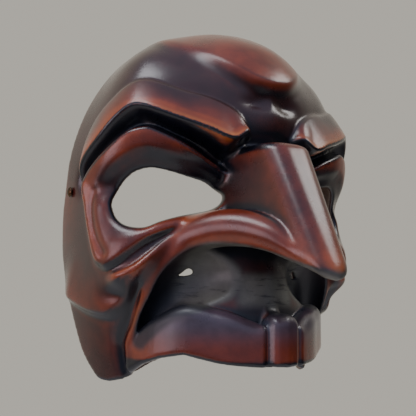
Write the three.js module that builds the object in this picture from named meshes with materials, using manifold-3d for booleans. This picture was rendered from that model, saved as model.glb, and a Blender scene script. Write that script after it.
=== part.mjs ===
// A moulded leather half mask of the old comic theatre: a thin leather shell with heavy brows, a long
// straight nose and an upper lip, stiffened by a wired hem, padded inside and worn on an elastic strap.
// Millimetres, +Z up. The face looks along -Y and is symmetric about X = 0.
import * as THREE from 'three';
import { mergeVertices } from 'three/addons/utils/BufferGeometryUtils.js';
import Module from 'manifold-3d';

const wasm = await Module();
wasm.setup();

// ---------------------------------------------------------------- driving dimensions
const AXIS_Y = 62;        // the upright axis that the face wraps around, at the temples
const CAP_Z = 20;         // above this height the drum closes as a dome
const DRUM = 80;          // radius that unrolled distances are measured at
const FULL = 8;           // how far the brows and temples swell beyond the tables
const LEATHER = 3.0;      // thickness of the moulded leather
const CELL_OUTSIDE = 6.2; // mesh size of the outside face
const CELL_INSIDE = 7.0;  // mesh size of the inside face
const SOFTEN = 2;         // how far the relief is rounded over
const GAP = 0.3;          // clearance between neighbouring pieces
const SEAT = 1.35;        // clearance of a piece that lies on the inside face

const PIVOT = { y: 56, z: 8 };      // strap rivets, in both temples
const RIVET = { head: 5.2, dome: 1.5, shank: 2.4, seat: 80.2, tip: 64.3, peen: 3.8, burr: 65.6 };
const SPACER = { from: 69.6, to: 72.2, radius: 3.9 };
const TAB = { width: 14, from: 67.1, to: 69.3, above: 7, below: 20 };
const BURR = { from: 65.9, to: 66.8, radius: 3.3 };
const RING = { width: 19, height: 7.5, wire: 0.9 };
const STRAP = { width: 15, thick: 1.5, bottom: -55, flat: 34, tail: -4 };
const SLIDER = { at: -19.5, length: 9, wall: 1.6 };
const WIRE = { radius: 0.6, inset: 3.4, turns: 24, lower: 18 };
const HEM = { half: 2.9, cover: 0.8 };
const FOREHEAD_PAD = { half: 30, low: 50, high: 76, reach: 54 };
const BRIDGE_PAD = { half: 13, low: 33, high: 47, reach: 62 };
const CHEEK_PAD = { half: 12, low: -60, high: -38, reach: 61, turned: 58 };

// ---------------------------------------------------------------- the face, unrolled
// s is the distance around the drum from the middle of the face, t the height above CAP_Z (up over
// the dome above it), and the tables give the radius of the plain face at (s, t).
const FACE_S = [0, 27, 45, 65, 90, 125, 150];
const FACE_T = [-125, -107, -92, -72, -50, -30, -15, -2, 20, 45, 85, 126];
const FACE_R = [
  [68, 64, 60, 60, 64, 68, 69],
  [70, 66, 62, 62, 66, 70, 71],
  [74, 70, 64, 64, 70, 74, 75],
  [74, 70, 67, 68, 74, 77.5, 78],
  [70, 64, 66, 71, 77.5, 80.5, 81],
  [66, 61, 66, 73, 78, 81.5, 82],
  [62, 59, 66, 73.5, 78, 81, 82],
  [63, 61, 67, 74, 78, 81, 82],
  [78, 75, 75, 76, 78, 80, 81],
  [84, 83, 82, 81, 80.5, 80, 80],
  [88, 87.5, 86.5, 85, 83, 82, 82],
  [85, 85, 85, 85, 85, 85, 85],
];
// closed outlines (s, t)
const EYE = [[92, -20], [90, -14], [86, -9], [80, -5], [71, -3], [61, -4], [50, -6], [39, -8], [30, -12],
  [27, -15], [29, -19], [36, -22], [45, -24], [54, -26], [64, -29], [72, -32],
  [80, -32], [86, -30], [90, -26]];
const SOCKET = [[19, -5], [29, -1], [39, 4], [50, 10], [61, 14], [69, 16], [76, 15], [82, 13], [91, 7],
  [101, -1], [106, -9], [104, -24], [101, -37], [98, -47], [92, -52], [85, -49], [78, -44], [69, -38],
  [58, -34], [47, -30], [35, -25], [24, -21], [17, -15]];
// open lines (s, t); the brow stands between its edge and its crest
const BROW_EDGE = [[110, -9], [104, 0], [95, 7.5], [86, 15.5], [78, 20.5], [71, 20.5], [61, 18], [50, 15],
  [39, 12], [31, 9], [23, 9], [15, 16]];
const BROW_CREST = [[15, 17], [20, 25.5], [29, 31], [40, 34.5], [51, 36], [62, 38], [72, 39.5], [80, 39],
  [88, 36], [95, 31], [102, 25], [107, 16.5], [110, 5], [111, -7]];
const BAG_RIDGE = [[94, -57], [84, -55], [76, -52], [68, -46], [61, -40], [53, -34], [44, -28], [35, -25],
  [16, -22]];
const BULGE_EDGE = [[118, 82], [98, 75], [70, 64], [49, 57], [35, 51], [24, 45], [13, 40], [3, 38],
  [-6, 38]];
const CHEEK_FOLD = [[132, -62], [117, -68], [105, -72], [92, -73], [84, -66], [77, -58]];
const CHEEK_GROOVE = [[77, -60], [79, -67], [83, -76], [88, -84], [90, -91], [88, -106]];
// rolls and hollows: x, y, z, radius; the lip adds half its height
const WING = [[7, -46, -28, 3], [11, -38, -22.5, 5], [15.5, -28.5, -16.5, 7.5], [21, -17.5, -13, 9],
  [27, -8, -12.5, 9.5], [33, 0, -14.2, 9.5], [39, 7, -18, 9], [45, 12, -27, 8], [49.5, 16, -38, 7],
  [52, 20.5, -48, 6], [52.5, 25, -57, 5], [51, 30, -66, 3]];
const HOLLOW = [[8, -45, -40.5, 8.5], [12, -34, -39, 11], [18, -23, -36, 12.5], [26, -11, -34, 13.5],
  [34, -1, -35, 14], [41, 6, -40, 12.5], [46, 13, -47.5, 9.5], [50, 19, -56, 7], [52.5, 24, -66, 4]];
const LIP = [[0, -17.5, -67, 6, 8.5], [5, -16.5, -67.3, 6, 7.8], [9, -14, -70, 6, 7.5],
  [14, -11, -69, 6.3, 6.5], [22, -6, -67.2, 6.5, 8], [29, -0.5, -64.8, 6.5, 7.8], [38, 7, -62.5, 6.5, 7.5],
  [46, 15, -65, 5.5, 6.5], [52, 24, -70, 4, 5.5], [56, 31, -77, 2.5, 2.5]];
const BREATHING_SLIT = [[47, -51.8], [50, -51.4], [53, -53], [57, -54.4], [52, -54.8], [47, -53.8]];
// the rear edge as y at height z, and the lower edge as t at s
const REAR_EDGE = [[-110, 40], [-83, 53], [-73, 57], [-57, 60.5], [-43, 63.5], [-30, 66], [-20, 67],
  [0, 66.5],  [15, 63.5], [26, 61.5], [37, 60], [60, 57], [100, 50], [120, 46]];
const LOWER_EDGE = [[0, -98], [6, -97.6], [9.5, -98], [14, -97.8], [22, -97.4], [32, -96.3], [42, -94.3],
  [50, -92.5], [64, -94.5], [76, -98], [84, -102], [92, -106], [101, -107.5], [110, -107], [116, -102],
  [130, -80], [160, -80]];

// ---------------------------------------------------------------- small maths
const clamp = THREE.MathUtils.clamp;
const bell = (x) => Math.exp(-x * x);

function ease(a, b, x) {
  const k = clamp((x - a) / (b - a), 0, 1);
  return k * k * (3 - 2 * k);
}

function smoothMin(a, b, k) {
  const h = Math.max(k - Math.abs(a - b), 0) / k;
  return Math.min(a, b) - h * h * k * 0.25;
}

const smoothMax = (a, b, k) => -smoothMin(-a, -b, k);

function lookup(table, x) {
  if (x <= table[0][0]) return table[0][1];
  for (let i = 1; i < table.length; i++) {
    const [x0, y0] = table[i - 1];
    const [x1, y1] = table[i];
    if (x <= x1) return y0 + (y1 - y0) * (x - x0) / (x1 - x0);
  }
  return table.at(-1)[1];
}

// points of a smooth curve through stations of any number of coordinates
function spline(stations, steps, closed = false) {
  const n = stations.length;
  const at = (i) => {
    if (closed) return stations[(i + n) % n];
    if (i < 0) return stations[0].map((v, k) => 2 * v - stations[1][k]);
    if (i >= n) return stations[n - 1].map((v, k) => 2 * v - stations[n - 2][k]);
    return stations[i];
  };
  const out = [];
  for (let i = 0; i < (closed ? n : n - 1); i++) {
    for (let j = 0; j < steps; j++) {
      const u = j / steps;
      out.push(stations[i].map((_, k) => {
        const [a, b, c, d] = [at(i - 1)[k], at(i)[k], at(i + 1)[k], at(i + 2)[k]];
        const square = 2 * a - 5 * b + 4 * c - d;
        const cube = 3 * b - a - 3 * c + d;
        return 0.5 * (2 * b + (c - a) * u + square * u * u + cube * u ** 3);
      }));
    }
  }
  if (!closed) out.push(stations[n - 1]);
  return out;
}

// distance from (x, y) to a polyline, signed by the side it lies on, and how far along
function toLine(line, x, y) {
  let best = { d: Infinity, side: 0, along: 0 };
  for (let i = 1; i < line.length; i++) {
    const [ax, ay] = line[i - 1];
    const [ex, ey] = [line[i][0] - ax, line[i][1] - ay];
    const h = clamp(((x - ax) * ex + (y - ay) * ey) / (ex * ex + ey * ey), 0, 1);
    const d = Math.hypot(x - ax - h * ex, y - ay - h * ey);
    if (d < best.d) {
      best = { d, side: Math.sign(ex * (y - ay) - ey * (x - ax)), along: (i - 1 + h) / (line.length - 1) };
    }
  }
  return best;
}

// distance to a closed outline, negative inside
function toLoop(loop, x, y) {
  const { d } = toLine([...loop, loop[0]], x, y);
  let odd = false;
  loop.forEach(([ax, ay], i) => {
    const [bx, by] = loop[(i + 1) % loop.length];
    if ((ay > y) !== (by > y) && x < (bx - ax) * (y - ay) / (by - ay) + ax) odd = !odd;
  });
  return odd ? -d : d;
}

// ---------------------------------------------------------------- relief of the face over (s, t)
const GRID = { s: 151, t: 252, t0: -125 };

function blur(grid, sigma) {
  const reach = Math.floor(3 * sigma);
  const weights = Array.from({ length: 2 * reach + 1 },
    (_, i) => Math.exp(-0.5 * ((i - reach) / sigma) ** 2));
  const total = weights.reduce((a, b) => a + b);
  const pass = (source, stepS, stepT) => source.map((_, index) => {
    const [i, j] = [index % GRID.s, Math.floor(index / GRID.s)];
    let sum = 0;
    weights.forEach((w, k) => {
      const a = clamp(Math.abs(i + stepS * (k - reach)), 0, GRID.s - 1);
      const b = clamp(j + stepT * (k - reach), 0, GRID.t - 1);
      sum += w * source[b * GRID.s + a];
    });
    return sum / total;
  });
  return pass(pass(grid, 1, 0), 0, 1);
}

function plainRadius(s, t) {
  const rows = FACE_R.map((row) => lookup(FACE_S.map((v, i) => [v, row[i]]), s));
  return lookup(FACE_T.map((v, i) => [v, rows[i]]), t);
}

const lines = {
  edge: spline(BROW_EDGE, 4),
  crest: spline(BROW_CREST, 4),
  socket: spline(SOCKET, 3, true),
  eye: spline(EYE, 3, true),
  bulge: spline(BULGE_EDGE, 4),
  ridge: spline(BAG_RIDGE, 4),
  fold: spline(CHEEK_FOLD, 4),
  groove: spline(CHEEK_GROOVE, 4),
};
lines.band = [...lines.edge, ...lines.crest];

function forehead(s, t) {
  const edge = toLine(lines.bulge, s, t);
  const nearMiddle = ease(60, 10, s);
  const rise = -edge.side * edge.d / (10 - 6 * nearMiddle);
  const bulge = (1.5 + 3.5 * nearMiddle) * ease(-0.35, 1, rise) * ease(95, 60, t) - 1.5;
  return bulge - 2.5 * Math.exp(-(((s - 10) / 9) ** 2 + ((t - 34) / 4) ** 2));
}

function eyelids(s, t, socket) {
  const eye = Math.max(toLoop(lines.eye, s, t), 0);
  const w = eye / (eye + Math.max(-socket, 0) + 1e-6);
  const upper = ease(-22, -12, t);
  const lid = lookup([[0, -3.5], [0.25, -1], [0.5, 2.6], [0.8, 4], [1, 4.8]], w);
  const bag = lookup([[0, -0.8], [0.15, 1.4], [0.5, 3.2], [0.8, 3.6], [1, 2.6]], w);
  return (upper * lid + (1 - upper) * bag) * ease(1.2, -1.2, socket);
}

// how much of the brow stands here, and its radius: a crowned band from its edge up to its crest
function brow(s, t, plain) {
  const inside = toLoop(lines.band, s, t);
  const [low, high] = [toLine(lines.edge, s, t).d, toLine(lines.crest, s, t).d];
  const across = low / (low + high + 1e-6);
  const top = 84.2 - 1.6 * ease(60, 108, s);
  const radius = top * (1 - across) + (plain + 1.7) * across + 3.2 * across * (1 - across);
  const standing = low < high ? ease(1.2, -2.4, inside) : ease(0.7, -0.9, inside);
  return [standing, Math.max(radius, plain + 1.2)];
}

function cheek(s, t) {
  const ridge = toLine(lines.ridge, s, t);
  const under = ridge.side * ridge.d;
  const fade = ease(0, 0.12, ridge.along) * ease(1, 0.8, ridge.along);
  let h = 3.2 * bell(under / (under > 0 ? 7 : 1.8)) * fade;
  const fold = toLine(lines.fold, s, t);
  const over = -fold.side * fold.d;
  h += 3 * bell(over / (over > 0 ? 16 : 1.6)) * ease(0, 0.15, fold.along);
  h -= 3.5 * bell(toLine(lines.groove, s, t).d / 2.6);
  return h - 2.5 * Math.exp(-(((s - 87) / 7) ** 2 + ((t + 64) / 4.5) ** 2));
}

function faceRelief() {
  const index = Array.from({ length: GRID.s * GRID.t },
    (_, i) => [i % GRID.s, Math.floor(i / GRID.s) + GRID.t0]);
  const smooth = blur(index.map(([s, t]) => plainRadius(s, t)), 5);
  const carved = smooth.map((radius, i) => {
    const [s, t] = index[i];
    const socket = toLoop(lines.socket, s, t);
    const plain = radius + forehead(s, t);
    const [standing, browRadius] = brow(s, t, plain);
    const r = plain - 4 * bell((socket - 4) / 3.5) * ease(-20, -6, t) + eyelids(s, t, socket);
    return r * (1 - standing) + browRadius * standing + cheek(s, t);
  });
  return blur(carved, SOFTEN);
}

function slopes(grid) {
  const at = (i, j) => grid[clamp(j, 0, GRID.t - 1) * GRID.s + clamp(Math.abs(i), 0, GRID.s - 1)];
  return blur(grid.map((_, index) => {
    const [i, j] = [index % GRID.s, Math.floor(index / GRID.s)];
    const [gs, gt] = [(at(i + 1, j) - at(i - 1, j)) / 2, (at(i, j + 1) - at(i, j - 1)) / 2];
    return 1 / Math.sqrt(1 + gs * gs + gt * gt);
  }), 1);
}

const relief = faceRelief();
const slope = slopes(relief);

function sample(grid, s, t) {
  const [a, b] = [clamp(s, 0, GRID.s - 1.001), clamp(t - GRID.t0, 0, GRID.t - 1.001)];
  const [i, j] = [Math.floor(a), Math.floor(b)];
  const [u, v] = [a - i, b - j];
  const row = (k) => grid[k * GRID.s + i] * (1 - u) + grid[k * GRID.s + i + 1] * u;
  return row(j) * (1 - v) + row(j + 1) * v;
}

// ---------------------------------------------------------------- the solid outside form
// how far the brows and temples swell beyond the tables, and how far that carries their features round
const fullness = (s, t) => FULL * bell((s - 78) / 26) * ease(-90, -48, t) * ease(98, 50, t);
const carried = (s, t) => 0.75 * fullness(s, t) * ease(45, 95, s);

function unroll(x, y, z) {
  const reach = Math.hypot(x, AXIS_Y - y);
  const s = DRUM * Math.atan2(Math.abs(x), AXIS_Y - y);
  const over = z > CAP_Z;
  const t = over ? DRUM * Math.atan2(z - CAP_Z, reach) : z - CAP_Z;
  const r = over ? Math.hypot(reach, z - CAP_Z) : reach;
  return [s + carried(s, t), t, r - fullness(s, t)];
}

function rollUp(feature, t, r) {
  let s = feature;
  for (let pass = 0; pass < 4; pass++) s = feature - carried(s, t);
  const lift = Math.max(t, 0) / DRUM;
  const reach = r * Math.cos(lift);
  const z = CAP_Z + (t < 0 ? t : r * Math.sin(lift));
  return [reach * Math.sin(s / DRUM), AXIS_Y - reach * Math.cos(s / DRUM), z];
}

// distance to a ball swept along a line of (x, y, z, radius)
function toSweep(line, x, y, z) {
  let best = Infinity;
  for (let i = 1; i < line.length; i++) {
    const [a, b] = [line[i - 1], line[i]];
    const e = [b[0] - a[0], b[1] - a[1], b[2] - a[2]];
    const d = [x - a[0], y - a[1], z - a[2]];
    const h = clamp((d[0] * e[0] + d[1] * e[1] + d[2] * e[2]) / (e[0] ** 2 + e[1] ** 2 + e[2] ** 2), 0, 1);
    const away = Math.hypot(d[0] - h * e[0], d[1] - h * e[1], d[2] - h * e[2]);
    best = Math.min(best, away - a[3] - h * (b[3] - a[3]));
  }
  return best;
}

// the lip: an upright stadium section swept round the mouth
function toLip(line, x, y, z) {
  let best = Infinity;
  for (let i = 1; i < line.length; i++) {
    const [a, b] = [line[i - 1], line[i]];
    const [ex, ey] = [b[0] - a[0], b[1] - a[1]];
    const h = clamp(((x - a[0]) * ex + (y - a[1]) * ey) / (ex * ex + ey * ey), 0, 1);
    const [height, radius, half] = [2, 3, 4].map((k) => a[k] + h * (b[k] - a[k]));
    const dz = Math.max(Math.abs(z - height) - half, 0);
    best = Math.min(best, Math.hypot(x - a[0] - h * ex, y - a[1] - h * ey, dz) - radius);
  }
  return best;
}

// the nose: a prow of four planes with rounded edges
const NOSE = [
  { point: [0, -27, 29], normal: [0, -0.8897, 0.4565], round: 5 },
  { point: [12.2, -27, 28], normal: [0.971, -0.227, 0.0726], round: 9 },
  { point: [0, -26.5, 30], normal: [0, 0.03, 1], round: 4 },
  { point: [0, -52, -36.5], normal: [0, 0.391, -0.921], round: 9 },
];

function toNose(x, y, z) {
  return NOSE.reduce((d, { point, normal, round }) => {
    const plane = (x - point[0]) * normal[0] + (y - point[1]) * normal[1] + (z - point[2]) * normal[2];
    return smoothMax(d, plane, round);
  }, -1e3);
}

const wing = spline(WING, 2);
const hollow = spline(HOLLOW, 2);
const lip = spline(LIP, 2);

function outside(px, y, z) {
  const x = Math.abs(px);
  const [s, t, r] = unroll(x, y, z);
  let f = (r - sample(relief, s, t)) * sample(slope, s, t);
  f = smoothMin(f, toNose(x, y, z), 3);
  f = smoothMin(f, toSweep(wing, x, y, z), 2.5);
  f = smoothMax(f, -smoothMax(toSweep(hollow, x, y, z), 3 - x, 3), 1.6);
  const roll = toLip(lip, x, y, z) + 2.3 * bell((x - 9) / 1.8);
  return smoothMin(f, roll, 1.5 + 8 * ease(8, 3, x) * ease(-66, -58, z));
}

// ---------------------------------------------------------------- meshing and solids
const BOX = { x: 91, low: [-64, -106], high: [84, 112] };

// vertices where the field crosses zero, one to each sheet in a cell, joined around each crossed edge
function surfaceNet(field, cell) {
  const half = Math.ceil(BOX.x / cell);
  const size = [2 * half + 1, ...[0, 1].map((n) => Math.ceil((BOX.high[n] - BOX.low[n]) / cell))];
  const place = (i, j, k) => [(i - half) * cell, BOX.low[0] + j * cell, BOX.low[1] + k * cell];
  const index = (i, j, k) => (i * size[1] + j) * size[2] + k;
  const values = new Float64Array(size[0] * size[1] * size[2]);
  eachCell(size, (i, j, k) => { values[index(i, j, k)] = field(...place(i, j, k)); });
  const vertices = [];
  const vertexOf = new Map();
  eachCell(size.map((n) => n - 1), (i, j, k) => {
    const corner = (x, y, z) => values[index(i + x, j + y, k + z)];
    for (const sheet of sheets(corner)) {
      const mean = [0, 1, 2].map((n) => sheet.reduce((sum, edge) => sum + edge.point[n], 0) / sheet.length);
      sheet.forEach((edge) => vertexOf.set(`${index(i, j, k)}/${edge.key}`, vertices.length));
      vertices.push(settle(field, place(i + mean[0], j + mean[1], k + mean[2]), cell));
    }
  });
  return { vertices, faces: netFaces(values, index, size, vertexOf) };
}

function eachCell([ni, nj, nk], visit) {
  for (let i = 0; i < ni; i++) for (let j = 0; j < nj; j++) for (let k = 0; k < nk; k++) visit(i, j, k);
}

// a unit cell's edges, keyed by their direction and first corner
const CELL_EDGES = [0, 1, 2].flatMap((axis) => [0, 1, 2, 3].map((side) => {
  const from = [0, 0, 0];
  from[(axis + 1) % 3] = side & 1;
  from[(axis + 2) % 3] = side >> 1;
  const to = [...from];
  to[axis] = 1;
  return { axis, from, to, key: axis + from.join('') };
}));

// the crossed edges of a cell, grouped into the separate sheets of surface that pass through it
function sheets(corner) {
  const crossed = CELL_EDGES.flatMap((edge) => {
    const [a, b] = [corner(...edge.from), corner(...edge.to)];
    if ((a < 0) === (b < 0)) return [];
    const point = [...edge.from];
    point[edge.axis] = a / (a - b);
    return [{ ...edge, point, group: edge.key }];
  });
  if (!crossed.length) return [];
  for (let axis = 0; axis < 3; axis++) {
    for (const side of [0, 1]) {
      const onFace = crossed.filter((e) => e.from[axis] === side && e.to[axis] === side);
      joinOnFace(onFace, crossed, corner);
    }
  }
  return [...new Set(crossed.map((e) => e.group))].map((name) => crossed.filter((e) => e.group === name));
}

function joinOnFace(onFace, crossed, corner) {
  const join = (a, b) => {
    const [keep, drop] = [a.group, b.group];
    crossed.forEach((e) => { if (e.group === drop) e.group = keep; });
  };
  if (onFace.length === 2) join(...onFace);
  if (onFace.length !== 4) return;
  const solidEnd = (e) => (corner(...e.from) < 0 ? e.from : e.to).join('');
  onFace.forEach((a) => onFace.forEach((b) => { if (solidEnd(a) === solidEnd(b)) join(a, b); }));
}

// walk a vertex onto the zero surface along the gradient
function settle(field, p, cell) {
  const h = 0.05;
  for (let pass = 0; pass < 3; pass++) {
    const f = field(...p);
    const g = [0, 1, 2].map((n) => (field(...p.map((v, m) => v + (m === n ? h : 0))) - f) / h);
    const square = Math.max(g[0] ** 2 + g[1] ** 2 + g[2] ** 2, 0.3);
    const reach = clamp(f / square, -cell / 8, cell / 8);
    p = p.map((v, n) => v - reach * g[n]);
  }
  return p;
}

function netFaces(values, index, size, vertexOf) {
  const faces = [];
  eachCell(size, (i, j, k) => {
    for (let axis = 0; axis < 3; axis++) {
      const at = [i, j, k];
      const next = [...at];
      next[axis]++;
      const [u, v] = [(axis + 1) % 3, (axis + 2) % 3];
      if (next[axis] >= size[axis]) continue;
      if ([u, v].some((n) => at[n] < 1 || at[n] >= size[n] - 1)) continue;
      const solid = values[index(...at)] < 0;
      if (solid === values[index(...next)] < 0) continue;
      const ring = [[1, 1], [0, 1], [0, 0], [1, 0]].map(([du, dv]) => {
        const c = [...at];
        c[u] -= du;
        c[v] -= dv;
        const from = [0, 0, 0];
        from[u] = du;
        from[v] = dv;
        return vertexOf.get(`${index(...c)}/${axis}${from.join('')}`);
      });
      if (!solid) ring.reverse();
      faces.push([ring[0], ring[1], ring[2]], [ring[0], ring[2], ring[3]]);
    }
  });
  return faces;
}

// a geometry from points and triangles, with its faces turned outwards
function meshOf({ vertices, faces }) {
  const volume = faces.reduce((sum, [a, b, c]) => {
    const [p, q, r] = [vertices[a], vertices[b], vertices[c]];
    return sum + [0, 1, 2].reduce((part, n) => {
      const [u, v] = [(n + 1) % 3, (n + 2) % 3];
      return part + p[n] * (q[u] * r[v] - q[v] * r[u]);
    }, 0);
  }, 0);
  const geometry = new THREE.BufferGeometry();
  geometry.setAttribute('position', new THREE.Float32BufferAttribute(vertices.flat(), 3));
  geometry.setIndex(volume < 0 ? faces.flatMap((face) => [...face].reverse()) : faces.flat());
  return geometry;
}

// the one main body of a solid, without slivers or closed bubbles
function mainBody(solid) {
  return solid.decompose().reduce((best, piece) => (piece.volume() > best.volume() ? piece : best));
}

function toSolid(geometry) {
  const vertProperties = Float32Array.from(geometry.getAttribute('position').array);
  const triVerts = Uint32Array.from(geometry.getIndex().array);
  return new wasm.Manifold(new wasm.Mesh({ numProp: 3, vertProperties, triVerts }));
}

function toGeometry(solid) {
  const { vertProperties, triVerts } = solid.getMesh();
  const geometry = new THREE.BufferGeometry();
  geometry.setAttribute('position', new THREE.BufferAttribute(Float32Array.from(vertProperties), 3));
  geometry.setIndex(new THREE.BufferAttribute(Uint32Array.from(triVerts), 1));
  return geometry;
}

// rings of points joined into a tube; closed rings of stations, or capped ends
function loft(rings, closed) {
  const n = rings[0].length;
  const faces = [];
  const last = closed ? rings.length : rings.length - 1;
  for (let i = 0; i < last; i++) {
    const [a, b] = [i * n, ((i + 1) % rings.length) * n];
    for (let j = 0; j < n; j++) {
      const k = (j + 1) % n;
      faces.push([a + j, a + k, b + k], [a + j, b + k, b + j]);
    }
  }
  if (!closed) {
    const end = (rings.length - 1) * n;
    for (let j = 1; j < n - 1; j++) faces.push([0, j + 1, j], [end, end + j, end + j + 1]);
  }
  return meshOf({ vertices: rings.flat(), faces });
}

// a prism through the face with an outline in (s, t), from radius r0 to r1
function prism(outline, r0, r1) {
  const contour = outline.map(([s, t]) => new THREE.Vector2(s, t));
  if (THREE.ShapeUtils.isClockWise(contour)) contour.reverse();
  const vertices = [r0, r1].flatMap((r) => contour.map((p) => rollUp(p.x, p.y, r)));
  const n = contour.length;
  const caps = THREE.ShapeUtils.triangulateShape(contour, []);
  const faces = caps.flatMap(([a, b, c]) => [[c, b, a], [a + n, b + n, c + n]]);
  for (let j = 0; j < n; j++) {
    const k = (j + 1) % n;
    faces.push([j, k, k + n], [j, k + n, j + n]);
  }
  return meshOf({ vertices, faces });
}

function mirrored(geometry) {
  const other = geometry.clone();
  other.scale(-1, 1, 1);
  const index = Array.from(other.getIndex().array);
  const flipped = [];
  for (let i = 0; i < index.length; i += 3) flipped.push(index[i], index[i + 2], index[i + 1]);
  other.setIndex(flipped);
  return other;
}

// ---------------------------------------------------------------- the leather shell
// everything behind the rear edge
function rearCutter() {
  const shape = new THREE.Shape();
  shape.moveTo(140, 140);
  [...REAR_EDGE].reverse().forEach(([z, y]) => shape.lineTo(y, z));
  shape.lineTo(140, -110);
  const geometry = new THREE.ExtrudeGeometry(shape, { depth: 220, bevelEnabled: false });
  geometry.translate(0, 0, -110);
  geometry.applyMatrix4(new THREE.Matrix4().makeBasis(
    new THREE.Vector3(0, 1, 0), new THREE.Vector3(0, 0, 1), new THREE.Vector3(1, 0, 0)));
  return indexed(geometry);
}

// everything under the lower edge: a deep ring whose top follows it
function lowerCutter() {
  const turns = 90;
  const rings = [];
  for (let i = 0; i < turns; i++) {
    const angle = (i / turns) * 2 * Math.PI - Math.PI;
    const z = CAP_Z + lookup(LOWER_EDGE, DRUM * Math.abs(angle));
    rings.push([[30, -140], [130, -140], [130, z], [30, z]].map(([r, h]) =>
      [r * Math.sin(angle), AXIS_Y - r * Math.cos(angle), h]));
  }
  return loft(rings, true);
}

function indexed(geometry) {
  geometry.deleteAttribute('normal');
  geometry.deleteAttribute('uv');
  return mergeVertices(geometry, 1e-5);
}

function rivetHole() {
  const hole = new THREE.CylinderGeometry(RIVET.shank / 2 + GAP, RIVET.shank / 2 + GAP, 20, 16);
  hole.rotateZ(Math.PI / 2);
  hole.translate(DRUM, PIVOT.y, PIVOT.z);
  return indexed(hole);
}

// the outside form, grown by a distance, as a solid that is closed off behind and below
function formSolid(grow, cell) {
  const end = Math.abs(grow);
  const field = (x, y, z) => Math.max(outside(x, y, z) - grow, y - 74 - end, -94 - end - z);
  return mainBody(toSolid(meshOf(surfaceNet(field, cell))));
}

function leatherShell() {
  const eye = prism(spline(EYE, 2, true), 42, 104);
  const slit = prism(BREATHING_SLIT, 42, 76);
  const cutters = [eye, slit, rivetHole()].flatMap((cutter) => [cutter, mirrored(cutter)]);
  return mainBody([rearCutter(), lowerCutter(), ...cutters].reduce(
    (solid, cutter) => solid.subtract(toSolid(cutter)),
    formSolid(0, CELL_OUTSIDE).subtract(formSolid(-LEATHER, CELL_INSIDE))));
}

// ---------------------------------------------------------------- the wired hem inside the edge
// walk outwards from a point in the hollow until the leather's inside face is a given depth away
function reachLining(from, direction, depth) {
  let reach = 30;
  for (let step = 0; step < 400; step++) {
    const p = from.map((v, n) => v + reach * direction[n]);
    const clear = -outside(...p) - LEATHER - depth;
    if (clear < 0.02) return p;
    reach += Math.max(clear * 0.5, 0.02);
  }
  throw new Error('no lining met');
}

function edgePath() {
  const points = [];
  for (let i = 0; i <= WIRE.turns; i++) {
    const angle = (i / WIRE.turns) * 2.52;
    let p = [0, 50, 100 * Math.cos(angle)];
    for (let pass = 0; pass < 4; pass++) {
      const y = lookup(REAR_EDGE, p[2]) - WIRE.inset;
      p = reachLining([0, y, 10], [Math.sin(angle), 0, Math.cos(angle)], SEAT);
    }
    points.push(p);
  }
  for (let i = 0; i <= WIRE.lower; i++) {
    const s = 98 * (1 - i / WIRE.lower);
    const z = CAP_Z + lookup(LOWER_EDGE, s) + WIRE.inset;
    const angle = s / DRUM;
    points.push(reachLining([0, AXIS_Y, z], [Math.sin(angle), -Math.cos(angle), 0], SEAT));
  }
  const other = points.slice(1, -1).reverse().map(([x, y, z]) => [-x, y, z]);
  return relax([...points, ...other], 2);
}

// even out a closed run of points
function relax(points, passes) {
  for (let pass = 0; pass < passes; pass++) {
    points = points.map((p, i) => {
      const [a, b] = [points.at(i - 1), points[(i + 1) % points.length]];
      return p.map((v, n) => v / 2 + (a[n] + b[n]) / 4);
    });
  }
  return points;
}

// a section of (across, inward) points carried round the edge
function aroundEdge(path, section) {
  const rings = path.map((p, i) => {
    const [a, b] = [path.at(i - 1), path[(i + 1) % path.length]];
    const along = new THREE.Vector3(b[0] - a[0], b[1] - a[1], b[2] - a[2]).normalize();
    const here = outside(...p);
    const inward = new THREE.Vector3(...[0, 1, 2].map((n) =>
      here - outside(...p.map((v, m) => v + (m === n ? 2 : 0))))).normalize();
    const across = new THREE.Vector3().crossVectors(along, inward).normalize();
    return section.map(([u, v]) =>
      p.map((c, n) => c + u * across.getComponent(n) + v * inward.getComponent(n)));
  });
  return loft(rings, true);
}

function rimWire(path) {
  const section = Array.from({ length: 6 }, (_, i) => {
    const angle = (i * Math.PI) / 3;
    return [WIRE.radius * Math.cos(angle), GAP / 2 + WIRE.radius * (1 + Math.sin(angle))];
  });
  return aroundEdge(path, section);
}

function rimHem(path) {
  const channel = WIRE.radius + GAP;
  const roof = 2 * WIRE.radius + 1.5 * GAP;
  const top = roof + HEM.cover;
  return aroundEdge(path, [[-HEM.half, 0], [-channel, 0], [-channel, roof * 0.7], [-channel / 2, roof],
    [channel / 2, roof], [channel, roof * 0.7], [channel, 0], [HEM.half, 0], [HEM.half, HEM.cover],
    [1.2, top], [-1.2, top], [-HEM.half, HEM.cover]]);
}

// ---------------------------------------------------------------- pads
function roundedBlock(width, height, depth, corner) {
  const shape = new THREE.Shape();
  const [w, h] = [width / 2, height / 2];
  shape.absarc(w - corner, h - corner, corner, 0, Math.PI / 2);
  shape.absarc(corner - w, h - corner, corner, Math.PI / 2, Math.PI);
  shape.absarc(corner - w, corner - h, corner, Math.PI, Math.PI * 1.5);
  shape.absarc(w - corner, corner - h, corner, Math.PI * 1.5, Math.PI * 2);
  return new THREE.ExtrudeGeometry(shape, { depth, bevelEnabled: false, curveSegments: 4 });
}

// a foam block, cut to the lining, with a flat back that faces the axis; turned is its bearing in degrees
// from the middle of the face and reach how far its back is from the axis
function pad(lining, { half, low, high, reach, turned = 0 }) {
  const block = roundedBlock(2 * half, high - low, 60, 6);
  block.rotateX(Math.PI / 2);
  block.translate(0, -reach, (low + high) / 2);
  block.rotateZ(THREE.MathUtils.degToRad(turned));
  block.translate(0, AXIS_Y, 0);
  return toGeometry(mainBody(toSolid(indexed(block)).intersect(lining)));
}

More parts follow.
